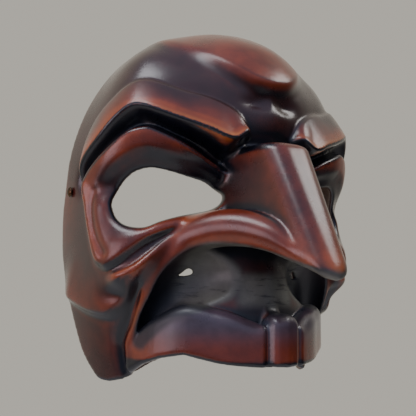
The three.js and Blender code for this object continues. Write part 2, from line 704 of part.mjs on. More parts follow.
// ---------------------------------------------------------------- strap and its fittings, on the +X side
// a round section turned about the rivet's axis, from (radius, x) points
function turned(profile) {
  const geometry = new THREE.LatheGeometry(profile.map(([r, x]) => new THREE.Vector2(r, x)), 16);
  geometry.rotateZ(-Math.PI / 2);
  geometry.translate(0, PIVOT.y, PIVOT.z);
  return indexed(geometry);
}

function rivet() {
  const [head, shank, peen] = [RIVET.head / 2, RIVET.shank / 2, RIVET.peen / 2];
  return turned([[0, RIVET.tip], [peen * 0.7, RIVET.tip + 0.2], [peen, RIVET.tip + 0.8], [peen, RIVET.burr],
    [shank, RIVET.burr], [shank, RIVET.seat], [head, RIVET.seat], [head, RIVET.seat + 0.4],
    [head * 0.75, RIVET.seat + RIVET.dome * 0.75], [0, RIVET.seat + RIVET.dome]]);
}

function washer({ from, to, radius }) {
  const bore = RIVET.shank / 2 + 0.1;
  return turned([[bore, from], [radius, from], [radius, to], [bore, to], [bore, from]]);
}

// a flat outline in X and Z, as deep as a width along Y about the rivet
function bandSolid(shape, width) {
  const options = { depth: width, bevelEnabled: false, curveSegments: 8 };
  const geometry = new THREE.ExtrudeGeometry(shape, options);
  geometry.rotateX(Math.PI / 2);
  geometry.translate(0, PIVOT.y + width / 2, 0);
  return toSolid(indexed(geometry));
}

const EYE_Z = PIVOT.z - TAB.below - 3;         // the ring's upper bar, in the tab's fold
const BAR_X = (TAB.from + TAB.to) / 2;

function strapTab(folded) {
  const shape = new THREE.Shape();
  const bottom = PIVOT.z - TAB.below;
  shape.moveTo(TAB.from, bottom);
  if (folded) {
    const turn = RING.wire + GAP + 1.1;
    shape.absarc(BAR_X, EYE_Z, turn, Math.PI * 0.75, Math.PI * 2.25);
  }
  shape.lineTo(TAB.to, bottom);
  shape.lineTo(TAB.to, PIVOT.z + TAB.above);
  shape.lineTo(TAB.from, PIVOT.z + TAB.above);
  shape.closePath();
  if (folded) shape.holes.push(new THREE.Path().absarc(BAR_X, EYE_Z, RING.wire + GAP, 0, Math.PI * 2));
  const bore = new THREE.CylinderGeometry(RIVET.shank / 2 + 0.1, RIVET.shank / 2 + 0.1, 20, 16);
  bore.rotateZ(Math.PI / 2);
  bore.translate(BAR_X, PIVOT.y, PIVOT.z);
  return toGeometry(bandSolid(shape, TAB.width).subtract(toSolid(indexed(bore))));
}

// a rectangular wire loop hanging in the left tab's fold
function strapRing() {
  const [w, h, corner] = [RING.width / 2, RING.height, 1.6];
  const outline = new THREE.Path();
  outline.absarc(w - corner, -corner, corner, 0, Math.PI / 2);
  outline.absarc(corner - w, -corner, corner, Math.PI / 2, Math.PI);
  outline.absarc(corner - w, corner - h, corner, Math.PI, Math.PI * 1.5);
  outline.absarc(w - corner, corner - h, corner, Math.PI * 1.5, Math.PI * 2);
  const points = outline.getPoints(3);
  if (points[0].distanceTo(points.at(-1)) < 0.01) points.pop();
  const rings = points.map((p, i) => {
    const [a, b] = [points.at(i - 1), points[(i + 1) % points.length]];
    const out = new THREE.Vector2(b.y - a.y, a.x - b.x).normalize();
    return Array.from({ length: 8 }, (_, k) => {
      const [c, s] = [RING.wire * Math.cos(k * Math.PI / 4), RING.wire * Math.sin(k * Math.PI / 4)];
      return [-BAR_X + s, PIVOT.y + p.x + c * out.x, EYE_Z + p.y + c * out.y];
    });
  });
  return loft(rings, true);
}

// the middle line of the elastic: right tab, down round the nape side, through the ring and back
function strapLine() {
  const right = TAB.from - GAP - STRAP.thick / 2;
  const wrap = RING.wire + GAP + STRAP.thick / 2;
  const bar = EYE_Z - RING.height;
  const [low, flat] = [STRAP.bottom, STRAP.flat];
  const inner = low + STRAP.thick + GAP;
  const path = new THREE.Path();
  path.moveTo(right, PIVOT.z - 13);
  path.lineTo(right, PIVOT.z - 30);
  path.bezierCurveTo(right, low + 10, flat + 20, low, flat, low);
  path.lineTo(-flat, low);
  path.bezierCurveTo(-flat - 24, low, -BAR_X - wrap, low + 13, -BAR_X - wrap, bar);
  path.absarc(-BAR_X, bar, wrap, Math.PI, 0, true);
  path.bezierCurveTo(-BAR_X + wrap, low + 15, -flat - 23, inner, -flat, inner);
  path.lineTo(STRAP.tail, inner);
  const points = path.getPoints(8);
  return points.filter((p, i) => !i || p.distanceTo(points[i - 1]) > 0.05);
}

function headStrap() {
  const line = strapLine();
  const side = (sign) => line.map((p, i) => {
    const [a, b] = [line[Math.max(i - 1, 0)], line[Math.min(i + 1, line.length - 1)]];
    const out = new THREE.Vector2(a.y - b.y, b.x - a.x).normalize();
    return p.clone().addScaledVector(out, sign * STRAP.thick / 2);
  });
  return toGeometry(bandSolid(new THREE.Shape([...side(1), ...side(-1).reverse()]), STRAP.width));
}

// a keeper round both layers of the strap
function strapSlider() {
  const layers = 2 * STRAP.thick + GAP;
  const middle = STRAP.bottom + (STRAP.thick + GAP) / 2;
  const [w, h] = [STRAP.width + 2 * GAP, layers + 2 * GAP];
  const frame = roundedBlock(w + 2 * SLIDER.wall, h + 2 * SLIDER.wall, SLIDER.length, 1.5);
  const window = roundedBlock(w, h, SLIDER.length + 2, 0.4);
  window.translate(0, 0, -1);
  const place = new THREE.Matrix4().makeBasis(
    new THREE.Vector3(0, 1, 0), new THREE.Vector3(0, 0, 1), new THREE.Vector3(1, 0, 0));
  place.setPosition(SLIDER.at - SLIDER.length / 2, PIVOT.y, middle);
  const solid = toSolid(indexed(frame)).subtract(toSolid(indexed(window)));
  return toGeometry(solid).applyMatrix4(place);
}

// ---------------------------------------------------------------- assembly
function finish(color, roughness, metalness = 0) {
  return new THREE.MeshStandardMaterial({ color, roughness, metalness });
}

const materials = {
  leather: finish(0x4a1c12, 0.25),
  hem: finish(0x3a1a12, 0.55),
  steel: finish(0x9a9a98, 0.35, 1),
  bronze: finish(0x3b2a20, 0.35, 1),
  foam: finish(0x2a2624, 0.95),
  tab: finish(0x3a1d12, 0.5),
  elastic: finish(0x161416, 0.9),
  plastic: finish(0x121214, 0.4),
};
const group = new THREE.Group();

function add(name, geometry, material) {
  const mesh = new THREE.Mesh(geometry, material);
  mesh.name = name;
  group.add(mesh);
}

const lining = formSolid(-LEATHER - SEAT, CELL_INSIDE);
const edge = edgePath();
const cheekPad = pad(lining, CHEEK_PAD);
add('leather_shell', toGeometry(leatherShell()), materials.leather);
add('rim_wire', rimWire(edge), materials.steel);
add('rim_hem', rimHem(edge), materials.hem);
add('forehead_pad', pad(lining, FOREHEAD_PAD), materials.foam);
add('bridge_pad', pad(lining, BRIDGE_PAD), materials.foam);
add('cheek_pad_left', cheekPad, materials.foam);
add('cheek_pad_right', mirrored(cheekPad), materials.foam);
for (const [side, place] of [['left', (g) => g], ['right', mirrored]]) {
  add(`rivet_${side}`, place(rivet()), materials.bronze);
  add(`spacer_${side}`, place(washer(SPACER)), materials.tab);
  add(`burr_${side}`, place(washer(BURR)), materials.bronze);
  add(`strap_tab_${side}`, place(strapTab(side === 'right')), materials.tab);
}
add('strap_ring', strapRing(), materials.steel);
add('head_strap', headStrap(), materials.elastic);
add('strap_slider', strapSlider(), materials.plastic);
export default group;
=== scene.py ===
"""A moulded, burnished leather half mask with a wired hem, suede pads and an elastic head strap.

The leather is sculpted as a signed distance field in millimetres and meshed here. The other pieces are
worked up from the CAD solids, or built at the places that they give. The face looks along -Y, +Z is up."""
import math

import bmesh
import bpy
import numpy as np
from mathutils import Matrix, Vector


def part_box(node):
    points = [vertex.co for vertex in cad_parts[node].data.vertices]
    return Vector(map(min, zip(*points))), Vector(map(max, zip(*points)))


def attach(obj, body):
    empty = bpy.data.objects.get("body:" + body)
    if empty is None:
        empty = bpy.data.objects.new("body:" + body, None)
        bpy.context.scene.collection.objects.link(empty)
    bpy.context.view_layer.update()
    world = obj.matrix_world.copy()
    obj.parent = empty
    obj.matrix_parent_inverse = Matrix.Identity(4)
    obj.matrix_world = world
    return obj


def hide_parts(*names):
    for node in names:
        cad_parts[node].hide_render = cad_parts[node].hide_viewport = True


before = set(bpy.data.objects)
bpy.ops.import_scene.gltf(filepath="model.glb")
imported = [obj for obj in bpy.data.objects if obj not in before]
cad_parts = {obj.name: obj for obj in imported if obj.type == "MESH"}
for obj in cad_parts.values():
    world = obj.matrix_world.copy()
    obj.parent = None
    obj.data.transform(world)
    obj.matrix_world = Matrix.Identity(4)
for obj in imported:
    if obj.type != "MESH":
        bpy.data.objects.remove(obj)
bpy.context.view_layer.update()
MM = 0.001

# ---------------------------------------------------------------- the face, unrolled
# s is the distance round the drum from the middle of the face and t the height above CAP_Z (up over the
# dome above it). The tables give the radius of the plain face, all in millimetres.
AXIS_Y, CAP_Z, DRUM = 62.0, 20.0, 80.0
FAR_AWAY = 40.0
FULL = 8.0  # how far the brows and temples swell beyond the tables
THICK = 2.8  # of the leather
FACE_S = [0, 27, 45, 65, 90, 125, 150]
FACE_T = [-125, -107, -92, -72, -50, -30, -15, -2, 20, 45, 85, 126]
FACE_R = [[68, 64, 60, 60, 64, 68, 69], [70, 66, 62, 62, 66, 70, 71], [74, 70, 64, 64, 70, 74, 75],
          [74, 70, 67, 68, 74, 77.5, 78], [70, 64, 66, 71, 77.5, 80.5, 81], [66, 61, 66, 73, 78, 81.5, 82],
          [62, 59, 66, 73.5, 78, 81, 82], [63, 61, 67, 74, 78, 81, 82], [78, 75, 75, 76, 78, 80, 81],
          [84, 83, 82, 81, 80.5, 80, 80], [88, 87.5, 86.5, 85, 83, 82, 82], [85, 85, 85, 85, 85, 85, 85]]
EYE = [(92, -20), (90, -14), (86, -9), (80, -5), (71, -3), (61, -4), (50, -6), (39, -8), (30, -12), (27, -15),
       (29, -19), (36, -22), (45, -24), (54, -26), (64, -29), (72, -32), (80, -32), (86, -30), (90, -26)]
SOCKET = [(19, -5), (29, -1), (39, 4), (50, 10), (61, 14), (69, 16), (76, 15), (82, 13), (91, 7), (101, -1),
          (106, -9), (104, -24), (101, -37), (98, -47), (92, -52), (85, -49), (78, -44), (69, -38), (58, -34),
          (47, -30), (35, -25), (24, -21), (17, -15)]
BROW_EDGE = [(110, -9), (104, 0), (95, 7.5), (86, 15.5), (78, 20.5), (71, 20.5), (61, 18), (50, 15), (39, 12),
             (31, 9), (23, 9), (15, 16)]
BROW_CREST = [(15, 17), (20, 25.5), (29, 31), (40, 34.5), (51, 36), (62, 38), (72, 39.5), (80, 39), (88, 36),
              (95, 31), (102, 25), (107, 16.5), (110, 5), (111, -7)]
BAG_RIDGE = [(94, -57), (84, -55), (76, -52), (68, -46), (61, -40), (53, -34), (44, -28), (35, -25),
             (16, -22)]
BAG_BORDER = [(105, -10), (103, -24), (100, -37), (96, -48)]
BAG_CREASE = [(99, -14), (99.5, -24), (97, -36), (92, -45)]
BULGE_EDGE = [(118, 82), (98, 75), (70, 64), (49, 57), (35, 51), (24, 45), (13, 40), (3, 38), (-6, 38)]
CHEEK_FOLD = [(132, -62), (117, -68), (105, -72), (92, -73), (84, -66), (77, -58)]
CHEEK_GROOVE = [(77, -60), (79, -67), (83, -76), (88, -84), (90, -91), (88, -106)]
# rolls and hollows: x, y, z, radius; the lip adds the half-height of its straight middle
WING = [(7, -46, -28, 3), (11, -38, -22.5, 5), (15.5, -28.5, -16.5, 7.5), (21, -17.5, -13, 9),
        (27, -8, -12.5, 9.5), (33, 0, -14.2, 9.5), (39, 7, -18, 9), (45, 12, -27, 8), (49.5, 16, -38, 7),
        (52, 20.5, -48, 6), (52.5, 25, -57, 5), (51, 30, -66, 3)]
HOLLOW = [(8, -45, -40.5, 8.5), (12, -34, -39, 11), (18, -23, -36, 12.5), (26, -11, -34, 13.5),
          (34, -1, -35, 14), (41, 6, -40, 12.5), (46, 13, -47.5, 9.5), (50, 19, -56, 7), (52.5, 24, -66, 4)]
LIP = [(0, -17.5, -67, 6, 8.5), (5, -16.5, -67.3, 6, 7.8), (9, -14, -70, 6, 7.5), (14, -11, -69, 6.3, 6.5),
       (22, -6, -67.2, 6.5, 8), (29, -0.5, -64.8, 6.5, 7.8), (38, 7, -62.5, 6.5, 7.5),
       (46, 15, -65, 5.5, 6.5), (52, 24, -70, 4, 5.5), (56, 31, -77, 2.5, 2.5)]
LIP_GROOVE_X = 9
BREATHING_SLIT = [(47, -52.8, 0, 0.8), (49, -52.6, 0, 1.6), (51.5, -53.3, 0, 1.2), (54, -54, 0, 0.6),
                  (56.5, -54.3, 0, 0.2)]
# the rear edge as y at height z
REAR_EDGE = [(-110, 40), (-83, 53), (-73, 57), (-57, 60.5), (-43, 63.5), (-30, 66), (-20, 67), (0, 66.5),
             (15, 63.5), (26, 61.5), (37, 60), (60, 57), (100, 50), (120, 46)]
# the lower edge as t at s
LOWER_EDGE = [(0, -98), (6, -97.6), (9.5, -98), (14, -97.8), (22, -97.4), (32, -96.3), (42, -94.3),
              (50, -92.5), (64, -94.5), (76, -98), (84, -102), (92, -106), (101, -107.5), (110, -107),
              (116, -102), (130, -80)]
# a point, the outward direction and the rounding of each face of the nose
NOSE_PLANES = [((0, -27, 29), (0, -0.8897, 0.4565), 5), ((12.2, -27, 28), (0.971, -0.227, 0.0726), 9),
               ((0, -26.5, 30), (0, 0.03, 1), 4), ((0, -52, -36.5), (0, 0.391, -0.921), 9)]


# ---------------------------------------------------------------- small maths
def ease(a, b, x):
    k = np.clip((x - a) / (b - a), 0, 1)
    return k * k * (3 - 2 * k)


def bell(x):
    return np.exp(-x * x)


def smooth_min(a, b, k):
    h = np.maximum(k - np.abs(a - b), 0) / k
    return np.minimum(a, b) - h * h * k * 0.25


def smooth_max(a, b, k):
    return -smooth_min(-a, -b, k)


def table(pairs, x):
    xs, ys = zip(*pairs)
    return np.interp(x, xs, ys)


def spline(stations, steps, closed=False):
    """points of a smooth curve through stations of any number of coordinates"""
    p = np.array(stations, float)
    if closed:
        a, b, c, d = np.roll(p, 1, 0), p, np.roll(p, -1, 0), np.roll(p, -2, 0)
    else:
        e = np.concatenate([[2 * p[0] - p[1]], p, [2 * p[-1] - p[-2]]])
        a, b, c, d = e[:-3], e[1:-2], e[2:-1], e[3:]
    u = (np.arange(steps) / steps)[None, :, None]
    a, b, c, d = (q[:, None, :] for q in (a, b, c, d))
    out = 0.5 * (2 * b + (c - a) * u + (2 * a - 5 * b + 4 * c - d) * u**2 + (3 * b - a - 3 * c + d) * u**3)
    out = out.reshape(-1, p.shape[1])
    return out if closed else np.concatenate([out, p[-1:]])


def to_line(line, x, y):
    """distance to a polyline in (s, t), the side it is on (left is +) and how far along it is, 0 to 1"""
    best = np.full(x.shape, 1e9)
    side, along = np.zeros_like(best), np.zeros_like(best)
    for i, (a, b) in enumerate(zip(line[:-1], line[1:])):
        e = b - a
        h = np.clip(((x - a[0]) * e[0] + (y - a[1]) * e[1]) / (e @ e), 0, 1)
        d = np.hypot(x - a[0] - h * e[0], y - a[1] - h * e[1])
        nearer = d < best
        best = np.where(nearer, d, best)
        side = np.where(nearer, np.sign(e[0] * (y - a[1]) - e[1] * (x - a[0])), side)
        along = np.where(nearer, (i + h) / (len(line) - 1), along)
    return best, side, along


def to_loop(loop, x, y):
    """distance to a closed outline in (s, t), negative inside"""
    ring = np.concatenate([loop, loop[:1]])
    d = to_line(ring, x, y)[0]
    odd = np.zeros(x.shape, bool)
    for a, b in zip(ring[:-1], ring[1:]):
        spans = (a[1] > y) != (b[1] > y)
        odd ^= spans & (x < (b[0] - a[0]) * (y - a[1]) / (b[1] - a[1] + 1e-12) + a[0])
    return np.where(odd, -d, d)


# ---------------------------------------------------------------- relief of the face over (s, t)
GRID_STEP = 0.5
GRID_S, GRID_T = np.arange(0, 150 + GRID_STEP, GRID_STEP), np.arange(-125, 126 + GRID_STEP, GRID_STEP)


def blur(grid, sigma):
    """Gaussian blur, with sigma in millimetres, mirrored at the middle of the face"""
    reach = int(3 * sigma / GRID_STEP)
    weights = np.exp(-0.5 * (np.arange(-reach, reach + 1) * GRID_STEP / sigma) ** 2)
    weights /= weights.sum()
    for axis, mode in ((0, "edge"), (1, "reflect")):
        pad = [(0, 0), (0, 0)]
        pad[axis] = (reach, reach)
        wide = np.pad(grid, pad, mode=mode)
        n = grid.shape[axis]
        grid = sum(w * np.take(wide, range(i, i + n), axis) for i, w in enumerate(weights))
    return grid


def plain_face():
    rows = np.array([np.interp(GRID_S, FACE_S, row) for row in FACE_R])
    columns = [np.interp(GRID_T, FACE_T, rows[:, j]) for j in range(len(GRID_S))]
    return blur(np.array(columns).T, 5.0)


def forehead(s, t):
    d, side, _ = to_line(spline(BULGE_EDGE, 6), s, t)
    near_middle = ease(60, 10, s)
    bulge = (1.5 + 3.5 * near_middle) * ease(-0.35, 1, -side * d / (10 - 6 * near_middle))
    pit = 2.5 * bell(np.hypot((s - 10) / 9, (t - 34) / 4))
    return bulge * ease(95, 60, t) - 1.5 - pit


def eyelids(s, t, socket, eye):
    """from the rim of the eye hole (w = 0) out to the crest of the lid and the bag (w = 1)"""
    w = np.maximum(eye, 0) / (np.maximum(eye, 0) + np.maximum(-socket, 0) + 1e-6)
    upper = ease(-22, -12, t)
    lid = np.interp(w, [0, 0.25, 0.5, 0.8, 1.0], [-3.5, -1.0, 2.6, 4.0, 4.8])
    bag = np.interp(w, [0, 0.15, 0.5, 0.8, 1.0], [-0.8, 1.4, 3.2, 3.6, 2.6])
    ring = (upper * lid + (1 - upper) * bag) * ease(1.2, -1.2, socket)
    border = 1.4 * bell(to_line(spline(BAG_BORDER, 6), s, t)[0] / 2.0)
    crease = 1.3 * bell(to_line(spline(BAG_CREASE, 6), s, t)[0] / 1.5)
    return ring + border - crease


def brow(s, t, plain):
    """(how much of the brow stands here, its radius): a crowned band from its lower edge up to its crest"""
    edge, crest = spline(BROW_EDGE, 6), spline(BROW_CREST, 6)
    inside = to_loop(np.concatenate([edge, crest]), s, t)
    low, high = to_line(edge, s, t)[0], to_line(crest, s, t)[0]
    across = low / (low + high + 1e-6)
    top = 84.2 - 1.6 * ease(60, 108, s)
    radius = top * (1 - across) + (plain + 1.7) * across + 3.2 * across * (1 - across)
    firm = np.where(low < high, ease(1.2, -2.4, inside), ease(0.7, -0.9, inside))
    return firm, np.maximum(radius, plain + 1.2)


def cheek(s, t):
    d, side, along = to_line(spline(BAG_RIDGE, 6), s, t)
    under = side * d
    h = 3.2 * bell(under / np.where(under > 0, 7, 1.8)) * ease(0, 0.12, along) * ease(1, 0.8, along)
    d, side, along = to_line(spline(CHEEK_FOLD, 6), s, t)
    over = -side * d
    h = h + 3 * bell(over / np.where(over > 0, 16, 1.6)) * ease(0, 0.15, along)
    h = h - 3.5 * bell(to_line(spline(CHEEK_GROOVE, 6), s, t)[0] / 2.6)
    return h - 2.5 * bell(np.hypot((s - 87) / 7, (t + 64) / 4.5))


def face_relief():
    s, t = np.meshgrid(GRID_S, GRID_T)
    socket = to_loop(spline(SOCKET, 4, True), s, t)
    eye = to_loop(spline(EYE, 4, True), s, t)
    plain = plain_face() + forehead(s, t)
    standing, brow_radius = brow(s, t, plain)
    r = plain
    r = r - 4 * bell((socket - 4) / 3.5) * ease(-20, -6, t)
    r = r + eyelids(s, t, socket, eye)
    r = r * (1 - standing) + brow_radius * standing
    return blur(r + cheek(s, t), 0.8), eye


def forehead_dome():
    """1 on the bulge of the forehead, falling to 0 at its edge"""
    d, side, _ = to_line(spline(BULGE_EDGE, 6), *np.meshgrid(GRID_S, GRID_T))
    return ease(-1, 9, -side * d)


def flattening(relief):
    """how much shorter the true distance to the relief is than its difference in radius"""
    up, across = np.gradient(relief, GRID_STEP)
    return 1 / np.sqrt(1 + blur(up**2 + across**2, 1.0))


RELIEF, EYE_HOLE = face_relief()
RAISED = (RELIEF - blur(RELIEF, 9)) / 9
DOME = forehead_dome()
SLOPE = flattening(RELIEF)


def sample(grid, s, t):
    a = np.clip(s / GRID_STEP, 0, len(GRID_S) - 1.001)
    b = np.clip((t - GRID_T[0]) / GRID_STEP, 0, len(GRID_T) - 1.001)
    i, j = a.astype(np.int32), b.astype(np.int32)
    u, v = a - i, b - j
    low = grid[j, i] * (1 - u) + grid[j, i + 1] * u
    high = grid[j + 1, i] * (1 - u) + grid[j + 1, i + 1] * u
    return low * (1 - v) + high * v


# ---------------------------------------------------------------- the mask as a distance field
def fullness(s, t):
    """how far the brows and temples swell beyond the tables"""
    return FULL * bell((s - 78) / 26) * ease(-90, -48, t) * ease(98, 50, t)


def unroll(p):
    x, y, z = np.abs(p[..., 0]), p[..., 1], p[..., 2]
    reach = np.hypot(x, AXIS_Y - y)
    over = z > CAP_Z
    t = np.where(over, DRUM * np.arctan2(z - CAP_Z, reach), z - CAP_Z)
    s = DRUM * np.arctan2(x, AXIS_Y - y)
    swell = fullness(s, t)
    return s + swell * ease(45, 95, s) * 0.75, t, np.where(over, np.hypot(reach, z - CAP_Z), reach) - swell


def near_line(line, p, distance):
    """calls distance with the points in reach of a swept line; the rest are far away"""
    reach = line[:, 3:].sum(1).max() + 10
    low, high = line[:, :3].min(0) - reach, line[:, :3].max(0) + reach
    close = ((p > low) & (p < high)).all(-1)
    out = np.full(p.shape[:-1], FAR_AWAY)
    out[close] = distance(line, p[close])
    return out


def sweep_distance(line, p):
    best = np.full(len(p), FAR_AWAY)
    for a, b in zip(line[:-1], line[1:]):
        e, q = b[:3] - a[:3], p - a[:3]
        h = np.clip((q @ e) / (e @ e), 0, 1)
        q = q - h[..., None] * e
        best = np.minimum(best, np.sqrt((q * q).sum(-1)) - a[3] - h * (b[3] - a[3]))
    return best


def lip_distance(line, p):
    best = np.full(len(p), FAR_AWAY)
    for a, b in zip(line[:-1], line[1:]):
        e, q = b[:2] - a[:2], p[..., :2] - a[:2]
        h = np.clip((q @ e) / (e @ e), 0, 1)
        q = q - h[..., None] * e
        height, radius, half = (a[k] + h * (b[k] - a[k]) for k in (2, 3, 4))
        dz = np.maximum(np.abs(p[..., 2] - height) - half, 0)
        best = np.minimum(best, np.sqrt((q * q).sum(-1) + dz**2) - radius)
    return best


def to_sweep(line, p):
    """distance to a ball swept along a line of (x, y, z, radius)"""
    return near_line(line, p, sweep_distance)


def to_lip(line, p):
    """distance to an upright stadium section swept round the mouth"""
    return near_line(line, p, lip_distance)


def to_nose(p):
    d = np.full(p.shape[:-1], -1e3)
    for point, normal, rounding in NOSE_PLANES:
        d = smooth_max(d, (p - point) @ np.array(normal), rounding)
    return d


WING_LINE, HOLLOW_LINE, LIP_LINE = spline(WING, 9), spline(HOLLOW, 8), spline(LIP, 9)
SLIT_LINE = spline(BREATHING_SLIT, 3)


def outside(points):
    """distance to the outside form of the face, negative within it"""
    p = points.copy()
    p[..., 0] = np.abs(p[..., 0])
    s, t, r = unroll(p)
    f = (r - sample(RELIEF, s, t)) * sample(SLOPE, s, t)
    f = smooth_min(f, to_nose(p), 3)
    f = smooth_min(f, to_sweep(WING_LINE, p), 2.5)
    f = smooth_max(f, -smooth_max(to_sweep(HOLLOW_LINE, p), 3 - p[..., 0], 3), 1.6)
    lip = to_lip(LIP_LINE, p) + 2.3 * bell((p[..., 0] - LIP_GROOVE_X) / 1.8)
    return smooth_min(f, lip, 1.5 + 8 * ease(8, 3, p[..., 0]) * ease(-66, -58, p[..., 2]))


def leather(points):
    """distance to the leather: a skin of even thickness, trimmed at its edge, with its holes"""
    f = outside(points)
    s, t, r = unroll(points)
    behind = (points[..., 1] - table(REAR_EDGE, points[..., 2])) * 0.97
    below = (table(LOWER_EDGE, s) - t) * 0.95
    skin = np.abs(f + THICK / 2) - THICK / 2
    skin = smooth_max(skin, smooth_max(behind, below, 6), 1.6)
    slit = np.maximum(to_sweep(SLIT_LINE, np.stack([s, t, 0 * s], -1)), r - 75)
    hole = np.minimum(sample(EYE_HOLE, s, t) * r / DRUM, slit)
    return smooth_max(skin, -hole, 1.2)


# ---------------------------------------------------------------- meshing a distance field
COARSE = 4  # fine cells in a rough one
MARGIN = 1.9  # of rough cells, within which the surface may pass
NOT_FILLED = 9.0
BATCH = 400000


def fill_field(field, cell, low, high):
    """the field on a grid over x >= 0, worked out finely only where the surface may pass"""
    size = [int(math.ceil((b - a) / cell)) + 1 for a, b in zip(low, high)]
    axes = [a + cell * np.arange(n) for a, n in zip(low, size)]
    rough_axes = [a[::COARSE] for a in axes]
    plane = np.stack(np.meshgrid(*rough_axes[1:], indexing="ij"), -1)
    rough = np.empty([len(a) for a in rough_axes])
    for i, x in enumerate(rough_axes[0]):
        rough[i] = field(np.concatenate([np.full(plane.shape[:2] + (1,), x), plane], -1))
    close = np.argwhere(np.abs(rough) < cell * COARSE * MARGIN)
    reach = np.arange(-COARSE // 2, COARSE // 2)
    block = np.stack(np.meshgrid(reach, reach, reach, indexing="ij"), -1).reshape(-1, 3)
    cells = (close[:, None, :] * COARSE + block).reshape(-1, 3)
    cells = cells[((cells >= 0) & (cells < np.array(size))).all(1)]
    values = np.full(size, NOT_FILLED, np.float32)
    for start in range(0, len(cells), BATCH):
        i, j, k = cells[start:start + BATCH].T
        values[i, j, k] = field(np.stack([axes[0][i], axes[1][j], axes[2][k]], -1))
    return values, axes


def surface_net(values, axes, cell):
    """one vertex in each cell that the surface passes through, joined across each crossed edge"""
    solid = values < 0
    size = np.array(values.shape)
    count = np.zeros(size - 1, np.int8)
    for i, j, k in np.ndindex(2, 2, 2):
        count += solid[i:size[0] - 1 + i, j:size[1] - 1 + j, k:size[2] - 1 + k]
    mixed = (count > 0) & (count < 8)
    cells = np.argwhere(mixed)
    number = np.full(size - 1, -1, np.int64)
    number[mixed] = np.arange(len(cells))
    total, hits = np.zeros((len(cells), 3)), np.zeros(len(cells))
    for axis in range(3):
        u, v = [n for n in range(3) if n != axis]
        for du, dv in np.ndindex(2, 2):
            a = cells.copy()
            a[:, u] += du
            a[:, v] += dv
            b = a.copy()
            b[:, axis] += 1
            fa, fb = values[tuple(a.T)], values[tuple(b.T)]
            crossed = (fa < 0) != (fb < 0)
            point = a.astype(float)
            point[:, axis] += np.where(crossed, fa / (fa - fb + 1e-20), 0)
            total[crossed] += point[crossed]
            hits[crossed] += 1
    vertices = np.array([a[0] for a in axes]) + cell * total / hits[:, None]
    return vertices, np.concatenate([net_quads(solid, number, axis) for axis in range(3)])


def net_quads(solid, number, axis):
    """the faces that cross the grid's edges along one axis"""
    u, v = (axis + 1) % 3, (axis + 2) % 3
    here, ahead = [slice(1, -1)] * 3, [slice(1, -1)] * 3
    here[axis], ahead[axis] = slice(0, -1), slice(1, None)
    here, ahead = solid[tuple(here)], solid[tuple(ahead)]
    crossed = here != ahead
    start = np.argwhere(crossed)
    start[:, [u, v]] += 1
    ring = []
    for du, dv in ((1, 1), (0, 1), (0, 0), (1, 0)):
        cell = start.copy()
        cell[:, u] -= du
        cell[:, v] -= dv
        ring.append(number[tuple(cell.T)])
    quads = np.stack(ring, 1)
    outward = here[crossed]
    quads[~outward] = quads[~outward][:, ::-1]
    return quads


def sculpt(field, cell, low, high):
    """vertices and quads of a surface that is symmetric about x = 0"""
    values, axes = fill_field(field, cell, low, high)
    values = np.concatenate([values[:0:-1], values])
    axes[0] = np.concatenate([-axes[0][:0:-1], axes[0]])
    return surface_net(values, axes, cell)


# ---------------------------------------------------------------- objects
def add_object(name, data):
    obj = bpy.data.objects.new(name, data)
    bpy.context.scene.collection.objects.link(obj)
    return obj


def shade(mesh, smooth=True):
    mesh.polygons.foreach_set("use_smooth", [smooth] * len(mesh.polygons))


def mesh_object(name, vertices, faces, smooth=True):
    mesh = bpy.data.meshes.new(name)
    mesh.from_pydata((np.asarray(vertices) * MM).tolist(), [], np.asarray(faces).tolist())
    mesh.update()
    shade(mesh, smooth)
    return add_object(name, mesh)


def mend(mesh, weld=None, sliver=None, outward=False):
    """welds points, drops faces with no area and turns the faces outward; the distances are in mm"""
    shape = bmesh.new()
    shape.from_mesh(mesh)
    if weld:
        bmesh.ops.remove_doubles(shape, verts=shape.verts, dist=weld * MM)
    if sliver:
        bmesh.ops.dissolve_degenerate(shape, edges=shape.edges, dist=sliver * MM)
    if outward:
        bmesh.ops.recalc_face_normals(shape, faces=shape.faces)
    shape.to_mesh(mesh)
    shape.free()


def get_points(obj):
    flat = np.empty(len(obj.data.vertices) * 3, np.float32)
    obj.data.vertices.foreach_get("co", flat)
    return flat.reshape(-1, 3).astype(float) / MM


def corners(node):
    """a CAD node's lowest and highest corners at rest, in millimetres"""
    return [np.round(np.array(corner) / MM, 3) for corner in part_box(node)]


def set_points(obj, points):
    obj.data.vertices.foreach_set("co", (points * MM).astype(np.float32).ravel())
    obj.data.update()


def get_normals(obj):
    flat = np.empty(len(obj.data.vertices) * 3, np.float32)
    obj.data.vertex_normals.foreach_get("vector", flat)
    return flat.reshape(-1, 3)


def point_value(obj, name, values):
    attribute = obj.data.attributes.new(name, "FLOAT", "POINT")
    attribute.data.foreach_set("value", np.asarray(values, np.float32))


# ---------------------------------------------------------------- node trees


